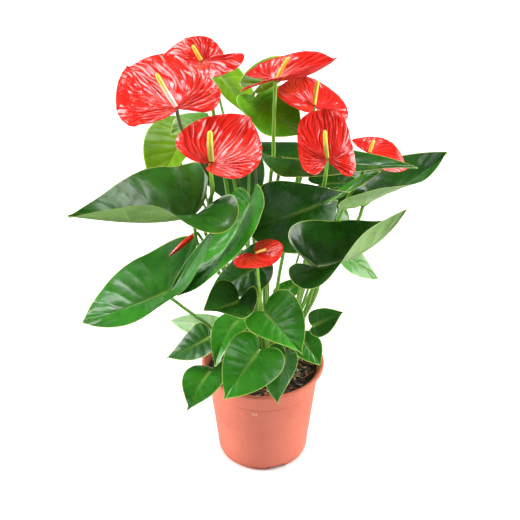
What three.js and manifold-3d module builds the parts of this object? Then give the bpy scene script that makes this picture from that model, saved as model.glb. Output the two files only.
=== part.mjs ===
import * as THREE from "three";
import { mergeVertices } from "three/addons/utils/BufferGeometryUtils.js";
import Module from "manifold-3d";

// Potted anthurium. Millimetres, +Z up, standing on z = 0.
// Blades and spathes are thin curved sheets of one family: a heart outline
// stretched over a bent midrib, folded and cupped on each side of it.
// Stalks are swept tubes. Pot and soil are turned solids.

const wasm = await Module();
wasm.setup();
const { Manifold, Mesh } = wasm;

// ---- pot (12 cm grow pot)
const POT_RIM_R = 60;            // outside of the rolled rim
const POT_H = 105;
const POT_BASE_R = 43.9;         // wall just above the foot
const POT_WALL_TOP_R = 55.2;     // wall just below the rim
const POT_WALL = 1.7;
const RIM_H = 4.6;
const STEP_BELOW_RIM = 21.5;     // shallow step line under the rim
const FOOT_R = 43;               // outside of the foot ring
const FOOT_H = 3.2;
const FOOT_W = 3.6;
const NOTCH = [17.5, 4.4];         // drainage notch in the foot: width, height
const NOTCH_AZ = [-70.4, 49.6, 169.6];
const DRAIN_R = 5;
const DRAIN_RING_R = 26;
const DRAIN_N = 6;
const POT_SIDES = 32;

// ---- soil
const SOIL_TOP = 96;
const SOIL_GAP = 0.35;           // clearance to the pot wall
const SOCKET_GAP = 0.45;         // clearance round each stalk

// ---- foliage
const BLADE_T = 1.0;             // sheet thickness
const STALK_SIDES = 5;
const PETIOLE_GAP = 0.45;        // spathe underside to its stalk
const SHIFT = [-6.59, -9.14, 0]; // puts the origin under the middle of the box

const POT_RED = 0xe8795f, PEAT = 0x33241b, SPATHE_RED = 0xe2231f;
const GREENS = { d: 0x1f4a25, m: 0x2f7a2c, y: 0x6d9a2e, b: 0x3f9a25 };
const STALK_GREEN = 0x6f8f3a, SPADIX_YELLOW = 0xe8d23a;

// Heart outlines, half width against length: x / (W/2), y / L from the stalk
// attachment (0,0) round the basal lobe to the tip (0,1).
const LEAF = [[0, 0], [0.06, -0.09], [0.2, -0.19], [0.45, -0.25], [0.72, -0.215], [0.92, -0.1], [1, 0.06], [0.965, 0.24], [0.84, 0.42], [0.66, 0.59], [0.44, 0.75], [0.23, 0.88], [0.07, 0.965], [0, 1]];
const SPATHE = [[0, 0], [0.1, -0.1], [0.28, -0.2], [0.54, -0.25], [0.8, -0.19], [0.97, -0.05], [1, 0.14], [0.96, 0.33], [0.84, 0.52], [0.66, 0.69], [0.42, 0.84], [0.2, 0.93], [0.05, 0.975], [0, 1]];
const MID_START = 0.3;
// Directions of the small in-plane edge offsets below.
const WARP_U = [1, 0, 0], WARP_V = [0, 0.54132, 0.84081];

// One row per sheet: attachment point, axis to the tip, upper-face normal,
// [length, width, asymmetry, lobe depth], [fold l r, fold change l r, cup l r,
// lobe lift l r], [midrib bend, bend growth, side bend, twist], edge offsets r, l.
const BLADES = {
  leaf_3: [[-11.43,-29.46,298.05],[-0.3685,-0.5323,-0.7621],[-0.7832,-0.2638,0.563],[106.7,93.6,0.027,0.144],[0.576,0.149,-0.05,0.026,-0.625,-0.494,0.812,0.578],[0.399,-0.088,0.578,0.053],[-0.7,-0.8,-0.7,-1,-0.1,-0.5,0,-0.1,0,0,0,0,0,0,0,0],[-0.1,0.4,-0.3,0.7,-0.8,0.1,0.2,-0.7,1,-0.1,-0.6,1,0.2,-0.3,0.1,0]],
  leaf_1: [[-61.95,-41.45,293.27],[-0.8605,-0.5079,0.0394],[0.0181,0.0468,0.9987],[122,110.9,-0.052,0.281],[0.725,0.678,0.714,0.575,-1.11,-0.179,1.321,1.555],[0.815,-0.437,-0.036,-0.009],[-3.1,2.3,-2.3,2.3,-1.8,1.8,-0.9,0.7,-0.1,-0.2,0.6,-1.1,1.4,-2.1,1,-1.5],[-2.2,1.9,-2.7,1.9,-1.9,1.7,-2.3,0.4,0.5,-0.6,5.4,2.1,5.5,-4.7,3.2,-3.9]],
  leaf_2: [[-87.14,-53.76,220.87],[-0.8467,-0.5281,-0.0648],[-0.0419,-0.0553,0.9976],[82.3,91.7,-0.025,0.468],[0.418,0.54,-0.985,0.069,0.337,-0.285,3.554,1.14],[-0.093,0.199,0.069,-0.574],[-3.5,3,-0.2,1.5,-0.1,1.5,0.1,-0.1,-0.8,0.3,-1.6,0.8,-1.7,1.1,-0.2,0.3],[-5.9,2.3,-4.5,2,-2.5,1.7,-0.4,1.4,-0.5,1.1,0.4,-1.8,0.8,-2.4,0.4,-1.3]],
  leaf_4: [[-69.78,51.25,327.19],[-0.4365,-0.8222,-0.3653],[-0.3055,-0.2464,0.9197],[66.2,68,0.066,0.262],[0.387,0.255,0.048,0.127,0.045,-0.066,0.3,-0.069],[-0.2,-0.169,0.02,0.055],[0,-0.2,-0.1,-0.3,-0.3,-0.4,-0.6,-0.1,-0.7,-0.1,-1.1,-0.2,-1,-0.1,-0.5,-0.1],[0,0,-0.1,0.1,-0.2,0.1,-0.2,0.2,-0.2,0.2,-0.2,0.1,-0.1,0.1,0,0]],
  leaf_5: [[-41.52,74,375.13],[0.6099,-0.652,-0.4504],[0.4318,-0.2032,0.8788],[58.6,57.3,-0.002,0.279],[0.201,0.463,-0.112,-0.274,-0.326,0.152,0.283,0.3],[-0.003,-0.034,0.132,-0.108],[0.1,0.1,0.3,0.2,0.5,0.2,0.5,0.2,0.1,-0.1,-0.8,-0.3,0.4,0.7,0.1,0.1],[0,0,0.1,0,0,0.1,0,0.2,-0.8,-0.4,0.4,-0.1,0.9,0.2,0.6,0.2]],
  leaf_6: [[-6.19,30,373.11],[0.7031,-0.6017,-0.3789],[0.2038,-0.3399,0.9181],[53.1,63.9,-0.027,0.136],[0.023,0.251,0.206,-0.335,-0.14,0.226,-0.117,0.433],[-0.219,-0.002,-0.229,-0.392],[0.2,0.2,0.5,0.2,1,-0.1,1.1,-0.5,1.8,-0.3,-1,-2.3,-1.5,-0.9,-1,0.3],[0.6,-1.9,1.4,-3.1,1.3,-2.2,1,-1.2,0.7,-0.2,0.4,0.2,0.2,0.2,0.1,0.1]],
  leaf_7: [[17.13,-10,333.83],[0.993,0.0603,-0.1012],[0.0956,0.0898,0.9914],[119.2,75.9,0.019,0.21],[0.185,0.16,0.107,0.219,-0.352,-0.385,0.18,2.777],[-0.095,0.267,0.233,0.034],[-0.4,-1.4,0.1,-0.5,0.3,-0.1,-0.2,-0.1,-0.1,0,-0.1,0.1,0,0.1,0,0.1],[0,0,0,0,0,-0.1,0,-0.1,0,0,0,0,0,0.1,-0.1,-0.1]],
  leaf_11: [[55.36,37.27,280.16],[0.9791,0.2007,0.0314],[0.0023,-0.1654,0.9862],[43.1,30.6,-0.006,0.28],[0.277,0.372,0.027,-0.136,-0.115,0.074,0.3,0.3],[-0.203,-0.15,-0.013,-0.113],[0,0.2,0,0.5,0,0.7,0.1,0.8,0.1,0.2,0,-0.2,0,-0.2,0,-0.1],[0,0,0,0,0,0.1,0,0.1,0,0.2,0,0.2,0,0.1,0,0.1]],
  leaf_8: [[93.32,28.97,263.75],[0.8703,0.4458,0.2094],[-0.2232,-0.0219,0.9745],[97.1,80.3,-0.011,0.299],[0.369,0.702,0.164,-0.431,-0.151,0.189,0.3,0.418],[0.011,0.471,0.093,-0.215],[0,0,0,0,0.1,0.1,0,0.5,-0.3,0.4,-0.8,-1,-1.7,-0.2,-1.4,0.2],[0,0,0,0,0,0,0,0.2,0,0.5,-0.1,1,-0.1,1.5,-0.1,1.1]],
  leaf_10: [[59.6,1.36,281.87],[0.8167,0.4567,0.3527],[-0.3949,-0.0034,0.9187],[59.3,29.6,0.001,0.28],[0.202,0.447,-0.016,-0.164,-0.579,0.001,0.3,0.3],[-0.059,-0.078,-0.065,-0.102],[-0.1,0.1,-0.1,0.3,-0.2,0.4,-0.2,0.4,0.1,0,0.3,-0.4,0.4,-0.5,0.2,-0.3],[0.1,-0.1,0.2,-0.2,0.3,-0.4,0.4,-0.7,0.5,-0.7,0.2,-0.3,-0.6,0.8,-0.4,0.4]],
  leaf_12: [[68.03,41.68,237.52],[-0.2701,-0.4608,-0.8454],[0.5501,-0.7945,0.2573],[54.7,44.2,0.021,0.375],[0.096,0.263,0.152,0.002,-0.281,-0.13,-1.207,0.3],[-0.359,-0.336,0.114,-0.169],[0,0,0,0,0,0,0,0,0,0,0,0,0,0,0,0],[-0.6,0.6,-1,1,-1.1,0.6,-0.6,0.2,-0.3,0,-0.1,0,0,-0.1,0,0]],
  leaf_14: [[72.57,53.7,197.66],[0.8153,-0.1647,-0.5551],[0.4641,-0.3874,0.7966],[52.3,35.8,0.022,0.28],[0.247,0.341,-0.094,-0.387,-0.078,0.103,0.3,0.3],[-0.096,-0.011,-0.106,-0.194],[0.3,0.2,0.6,0.3,0.9,0.4,1,0.1,0.1,-0.8,-0.5,-1,-0.5,-0.4,-0.3,-0.2],[0.1,0,0.1,0.1,0.1,0.1,0.1,0.1,-0.1,0.1,-0.7,-0.3,-1.2,-0.6,-0.8,-0.4]],
  leaf_15: [[-23.54,-61.07,215.28],[-0.6852,-0.7253,0.067],[0.1306,-0.0318,0.9909],[38,44.2,0.077,0.361],[0.27,0.369,0.134,-0.083,-0.722,0.193,2.785,-0.105],[0.263,-0.057,0.311,0.03],[-2.1,0.1,-2.8,0.5,-2,1.3,-1.5,1.5,-1.3,1.3,-1.1,1,-0.7,0.6,-0.3,0.2],[-1.4,1.6,-1.8,2.1,-1.1,1.2,-0.8,-0.1,0.2,-1.4,1.2,0.4,1.3,1.3,0.7,0.4]],
  leaf_16: [[-0.88,-35,239.45],[-0.8218,-0.0278,-0.569],[-0.4724,-0.5252,0.7078],[58.2,46.4,-0.032,0.212],[0.267,0.218,-0.214,-0.069,-0.224,-0.323,0.774,0.3],[0.011,-0.133,0.001,0.103],[0,0.3,0,0.6,0.1,0.7,0.3,0.6,0.5,-0.4,-0.4,-0.3,-1.7,0.4,-1.6,0.5],[-0.9,-0.2,-1.5,-0.3,-1.4,-0.6,-0.8,-0.8,-0.1,-0.9,0.1,-0.7,0.1,-0.4,0.1,-0.2]],
  leaf_18: [[-5.33,-61.97,159.37],[-0.6093,-0.6154,-0.5],[-0.0474,-0.6012,0.7977],[53.6,55.4,-0.041,0.247],[0.207,0.208,-0.035,-0.008,-0.178,-0.13,0.406,-0.03],[-0.289,-0.215,0.004,0.025],[-0.4,-0.2,-0.5,-0.5,-0.6,-0.4,-0.3,-0.1,0.2,-0.1,0.6,0,1.4,0.1,2,0.1],[0.6,-0.2,0.7,0,1,0,0.8,0.1,0.4,0.1,0.3,-0.1,0.2,0.2,-0.1,0.8]],
  leaf_13: [[47.7,-78.98,264.36],[0.9879,0.0429,0.1492],[-0.1366,-0.216,0.9668],[94.1,93.7,0.04,0.287],[0.414,0.55,0.018,0.797,-0.103,-0.105,0.691,2.207],[0.634,0.188,-0.515,0.48],[1.3,3.7,1.5,2.6,1.3,1,0.6,-0.7,-1.3,-0.3,-1.1,-0.9,-0.4,-1.2,-0.2,-0.4],[1.4,5.4,-0.7,4.5,-1.4,2.7,-1.6,1,-1.1,-0.3,-0.1,0.2,0.7,-3.6,0.6,-2.6]],
  leaf_9: [[49.37,-32.73,300.25],[-0.9247,-0.2631,-0.2752],[0.1187,-0.886,0.4481],[70.6,87.2,0.081,0.333],[-0.348,0.763,0.119,-0.311,-0.589,0.705,-1.477,0.167],[-0.416,-0.236,0.006,-1.071],[-0.1,-0.1,-0.3,-0.4,-0.5,-0.7,-0.9,-0.1,-1.7,0.4,-2.3,1.7,-1.7,1.6,-0.8,0.8],[-0.4,0.6,-0.8,0.9,-1,0.6,-0.8,-0.1,-1,-1.2,-1.2,-2.9,-1,-3.2,-0.5,-1.8]],
  leaf_19: [[-51.3,-30,153.28],[-0.8455,-0.3051,-0.4383],[-0.2831,-0.4398,0.8523],[44.9,38.7,0.001,0.165],[0.305,0.191,-0.161,-0.196,-0.078,-0.101,0.3,0.105],[-0.029,-0.013,0.315,-0.024],[-0.6,-0.8,-1.3,-1.4,-1.6,-1.3,-0.9,-0.5,0.1,-0.5,0.9,-0.6,1,-0.7,0.7,-0.5],[-0.2,0.1,-0.4,0.3,-0.6,0.3,-0.6,0.2,-0.1,-0.4,0.3,-0.1,0.4,0.6,0.3,0.7]],
  leaf_17: [[1.9,-55,199.39],[0.6677,-0.5943,-0.4483],[0.0531,-0.5626,0.825],[50.6,53.5,-0.095,0.181],[0.291,0.277,0.008,0.284,-0.057,-0.191,0.385,0.114],[-0.115,-0.106,-0.001,0.187],[0.5,0,0.8,-0.7,0.5,-0.6,0.3,-0.3,0.3,0.2,0.4,0.8,0.5,1.2,0.4,1],[1.1,-0.2,1.4,0,1,0.3,1,0.2,1.2,0.2,1.7,0.3,1.1,0.5,-0.5,0.5]],
  leaf_20: [[-50.01,-50,127.73],[-0.5346,-0.8392,-0.0997],[-0.1042,-0.0516,0.9932],[46.2,40.5,0.021,0.298],[0.239,0.141,-0.265,0.192,-0.18,-0.25,0.895,-1.033],[-0.36,-0.221,-0.14,0.34],[-0.3,-0.8,-0.5,-1.4,-0.5,-0.9,-0.6,-0.5,-0.7,0,-0.2,0.6,1.3,1.1,2,1],[-0.3,0.4,-0.5,0.6,-0.5,0.4,-0.3,0,0.2,-0.5,0.5,-0.6,0.1,0.1,-0.2,0.5]],
  leaf_23: [[48.06,-10,152.82],[0.9165,0.2584,0.3053],[-0.1242,-0.5418,0.8313],[32.9,29.2,0.013,0.169],[0.263,0.261,0.02,-0.037,-0.143,-0.205,0.306,0.351],[-0.075,-0.106,-0.114,-0.04],[0.1,-0.1,0,0.2,0.5,0.6,0.7,0.1,0.3,-0.2,-0.6,0.1,-1.3,0.5,-1,0.5],[1.8,0.4,3.3,0.8,3.2,0.6,2.3,0.3,1.3,0.4,0.5,0.5,-0.1,-0.2,-0.3,-0.7]],
  leaf_21: [[-24.3,-20.87,165.47],[-0.5214,-0.8476,-0.0981],[-0.0742,-0.0694,0.9948],[53.6,36.3,0.01,0.277],[0.294,0.185,0.369,0.333,-0.142,-0.217,0.3,0.257],[-0.37,-0.348,-0.21,-0.022],[0.1,-0.5,0.1,-0.8,0.1,-1,-0.2,-0.4,-0.1,0.7,0.9,0.9,1.3,0.7,1.2,0.5],[0.1,-0.2,0.2,-0.4,0.2,-0.7,0,-0.7,-0.5,-0.1,-1,1.1,0.9,0.2,1.7,-0.4]],
  leaf_24: [[38.32,-19.87,141.93],[0.6029,-0.5617,-0.5666],[0.0931,-0.6558,0.7492],[28.8,28.7,0.016,0.28],[0.204,0.224,0.031,-0.006,-0.216,-0.191,0.3,0.3],[-0.247,-0.2,-0.007,-0.026],[0,0,-0.1,-0.1,-0.1,-0.1,-0.2,-0.2,-0.2,-0.1,-0.1,0.1,0,0.3,0,0.2],[-0.2,-0.5,-0.4,-1,-0.4,-1.4,0,-1.4,1.1,-0.3,1.1,0.3,0.3,0.4,0,0.3]],
  leaf_27: [[-54.08,38,347.67],[-0.7682,-0.6325,0.0989],[0.1248,0.0035,0.9922],[37.4,30.7,0.035,0.28],[0.25,0.188,0,0.181,-0.15,-0.363,0.3,0.315],[-0.22,-0.243,-0.084,0.125],[0,-0.1,-0.1,-0.3,-0.3,-0.4,-0.6,-0.4,-1.1,0.2,-1.4,1.1,-1,1,-0.5,0.5],[0,0,0,0,0,0,0,0,0,0,0,0,0,0,0,0]],
  leaf_26: [[19.54,12,174.99],[0.789,0.5139,0.3368],[-0.0274,-0.5181,0.8549],[30.1,20.6,0.007,0.28],[0.233,0.249,-0.021,-0.001,-0.169,-0.151,0.3,0.3],[-0.214,-0.169,-0.031,0.013],[0,0,0,0,0,0,0,0,0,0,0,0,0,0,0,0],[0,0,0,0,0,-0.1,0,-0.2,0.1,-0.3,0.1,-0.4,0.1,-0.3,0,-0.2]],
  leaf_22: [[20.88,-47.39,145.57],[-0.2481,-0.4647,-0.85],[-0.2511,-0.8166,0.5198],[48.2,34.2,0.083,0.203],[0.398,0.291,0.1,0.04,-0.104,-0.082,0.474,0.3],[-0.192,-0.222,-0.122,-0.038],[0,0,-0.1,0,-0.3,-0.1,-0.6,-0.2,-1.1,-0.3,-1.5,-0.3,-1.2,0,-0.1,0.5],[-0.6,-0.7,-1.2,-1.2,-1.4,-1.5,-0.8,-1,-0.8,-0.2,-1.4,0.6,-1.4,0.8,-0.8,0.5]],
  leaf_28: [[-1.05,28,388.42],[0.6972,0.651,0.3002],[-0.1898,-0.2362,0.953],[56.7,39.5,-0.015,0.28],[0.288,0.314,0.119,0.03,-0.069,-0.056,0.3,0.3],[-0.353,-0.298,0.029,-0.062],[0,0,0,0.1,-0.1,0.1,-0.1,0.2,-0.1,0.2,-0.1,0.1,-0.1,0.1,0,0],[0.1,-0.1,0.3,-0.2,0.4,-0.2,0.4,0,0,0.5,-0.9,1.4,-1.2,-0.1,-0.7,-0.3]],
  leaf_25: [[-47.8,0,144.58],[-0.9833,0.1641,0.0782],[0.0372,-0.2394,0.9702],[44.2,24.5,-0.028,0.28],[0.123,0.291,-0.164,0.05,-0.277,-0.105,0.3,0.3],[-0.162,-0.112,0.142,0.149],[0,0,0,0,0,0.1,0,0.3,-0.1,0.6,-0.1,0.8,-0.1,0.5,0,0.3],[0,0,-0.1,-0.1,-0.2,-0.4,-0.4,-0.8,-0.7,-1.4,-0.9,-1.8,-0.4,-1.2,-0.1,-0.4]],
  spathe_2: [[-52.55,20,412.76],[-0.9901,-0.0198,-0.1387],[-0.1273,-0.287,0.9494],[49.9,50.5,-0.074,0.53],[0.258,0.4,0.208,0.172,-0.275,0.15,0.395,-0.75],[-0.359,-0.025,1.087,-0.19],[-0.1,0,-0.1,0,0.3,0.4,0.1,0.4,-0.2,0.7,-0.4,0.8,-0.2,0.4,-0.1,0.2],[0.9,2.8,2.1,2.2,3.1,1,2,0.4,1,0.1,0.3,-0.1,0,-0.1,0,-0.1]],
  spathe_3: [[10.55,0,403.5],[0.9999,-0.0124,0.0107],[-0.0112,-0.0344,0.9993],[57.1,65.5,-0.01,0.451],[0.27,0.454,0.244,0.273,-0.191,0.1,-0.729,-1.059],[0.56,0.175,-0.256,-0.032],[-0.8,-0.2,-1.4,-0.3,-1.2,-0.3,-0.9,0.3,-0.5,0.5,0,-0.3,0.2,-0.5,0.1,-0.3],[-0.2,-0.1,-0.4,-0.1,-0.3,0,0,-0.2,0,0.5,-0.1,0.5,-0.2,0.2,-0.8,-1.1]],
  spathe_1: [[-71.5,-50,401.88],[-0.5178,0.8459,0.1275],[-0.0693,-0.19,0.9793],[77.3,84.8,-0.033,0.214],[0.202,0.172,-0.07,0.245,-0.351,-0.198,0.368,-0.73],[0.053,-0.028,-0.194,0.229],[0.2,0.4,0.1,-0.2,0,-0.1,0,-0.3,-1.1,-1.2,0.4,1.6,1.6,0.1,1.4,-0.8],[-1.3,1.3,-1.3,1.1,-0.9,0.7,-0.6,0.3,-0.2,0,0.1,0.2,-0.4,0.4,-0.5,0.4]],
  spathe_4: [[44.45,10,374.39],[-0.175,0.9536,0.245],[0.2878,-0.1884,0.939],[49.4,64.2,0.013,0.319],[0.172,0.01,-0.325,-0.09,-0.141,-0.182,0.221,-0.071],[-0.125,-0.067,-0.003,0.161],[0.4,-0.4,0.8,-0.8,1.1,-1,1.2,-0.6,0.8,-0.5,0.1,-0.7,-0.1,-0.4,-0.1,-0.2],[0.1,-0.5,0.2,-0.4,-0.1,0,-0.7,0,-1.1,0,-1,0.1,-0.6,0.1,-0.3,0]],
  spathe_5: [[53.46,-60,359.69],[-0.0611,0.8073,0.5869],[0.0324,-0.5861,0.8096],[58.4,50.1,-0.029,0.272],[0.195,0.093,-0.012,0.138,0.16,-0.635,0.456,0.29],[-0.271,-0.321,0.097,0.115],[2.2,0.3,2.7,-0.6,2,-1.2,0,-1,-1.2,-0.2,0.1,0.9,1,1.1,0.7,0.4],[-0.4,-0.1,-0.5,0,-0.6,0,0.4,0.4,-0.8,0.7,-1.9,0.3,-1.2,-0.6,-0.5,-0.6]],
  spathe_7: [[95.26,20.63,322.65],[0.984,0.0068,-0.1783],[0.1783,-0.0754,0.9811],[40.6,46.9,-0.019,0.33],[0.132,0.141,0.121,-0.109,-0.086,-0.202,0.687,0.3],[-0.361,-0.223,0.058,-0.174],[0,0,0.1,0.1,0.1,0.1,0,0.1,-0.1,0,-0.3,0.1,-0.3,0.5,-0.2,0.3],[-0.8,0,-1.4,0,-1.1,-0.1,-0.7,0.3,-0.6,0.8,-1.2,0.7,-1.9,0.1,-1.4,-0.1]],
  spathe_8: [[-6.05,-86.17,282.43],[0.7584,-0.5568,0.3387],[-0.4113,-0.0057,0.9115],[29.4,38.3,0.107,0.268],[0.17,0.146,-0.1,-0.27,-0.158,-0.022,0.368,0.731],[0.174,0.146,-0.414,-0.125],[-1.3,1.6,-2.6,0.9,-3.8,-0.2,-3,0.2,-1,0.3,0.8,-1,1.3,-1.6,0.7,-1],[0.9,0.2,1,0.5,0.6,0.5,0.3,0.2,0.2,0.1,0.3,0.2,0.3,0.3,0.2,0.2]],
  spathe_6: [[-42.81,-90,372.36],[0.6329,0.753,0.1799],[0.0707,-0.2876,0.9551],[60.2,67.8,-0.051,0.284],[0.291,0.213,0.035,-0.248,-0.119,-0.17,1.015,1.199],[0.174,0.011,-0.239,-0.244],[-0.9,0.9,-0.8,1.1,-0.6,0.6,-0.2,0.2,0.1,-0.2,-0.2,-0.6,-0.9,-0.8,-0.7,-0.5],[0.2,0.6,-0.1,1,-0.3,0.8,-0.5,0.8,-0.2,0.5,0.2,0.3,0.5,0.7,0.4,1]],
  leaf_29: [[-31.83,45.62,307.07],[0.3363,0.0502,-0.9404],[-0.0159,-0.9981,-0.059],[67.4,63.7,0,0.25],[0.0924,0.0924,0,0,0.3827,0.3827,0.1,0.1],[-0.1185,0,0.2399,0],[0,0,0,0,0,0,0,0,0,0,0,0,0,0,0,0],[0,0,0,0,0,0,0,0,0,0,0,0,0,0,0,0]],
  leaf_30: [[7.58,63.99,217.2],[-0.008,0.9831,-0.1831],[-0.1386,0.1803,0.9738],[99.2,89.3,0,0.3],[0.3,0.3,0,0,-0.25,-0.25,0.3,0.3],[-0.591,-0.355,0.045,0],[0,0,0,0,0,0,0,0,0,0,0,0,0,0,0,0],[0,0,0,0,0,0,0,0,0,0,0,0,0,0,0,0]],
  leaf_31: [[38.42,56.17,293.33],[0.5663,0.8222,-0.0577],[-0.2003,0.2051,0.958],[79,71.1,0,0.3],[0.3,0.3,0,0,-0.25,-0.25,0.3,0.3],[-0.537,-0.322,-0.065,0],[0,0,0,0,0,0,0,0,0,0,0,0,0,0,0,0],[0,0,0,0,0,0,0,0,0,0,0,0,0,0,0,0]],
  leaf_32: [[-6.05,61.5,191.08],[-0.2585,0.9105,-0.3226],[-0.3526,0.222,0.9091],[64.1,57.7,0,0.3],[0.3,0.3,0,0,-0.25,-0.25,0.3,0.3],[-0.414,-0.248,-0.083,0],[0,0,0,0,0,0,0,0,0,0,0,0,0,0,0,0],[0,0,0,0,0,0,0,0,0,0,0,0,0,0,0,0]],
};

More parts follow.
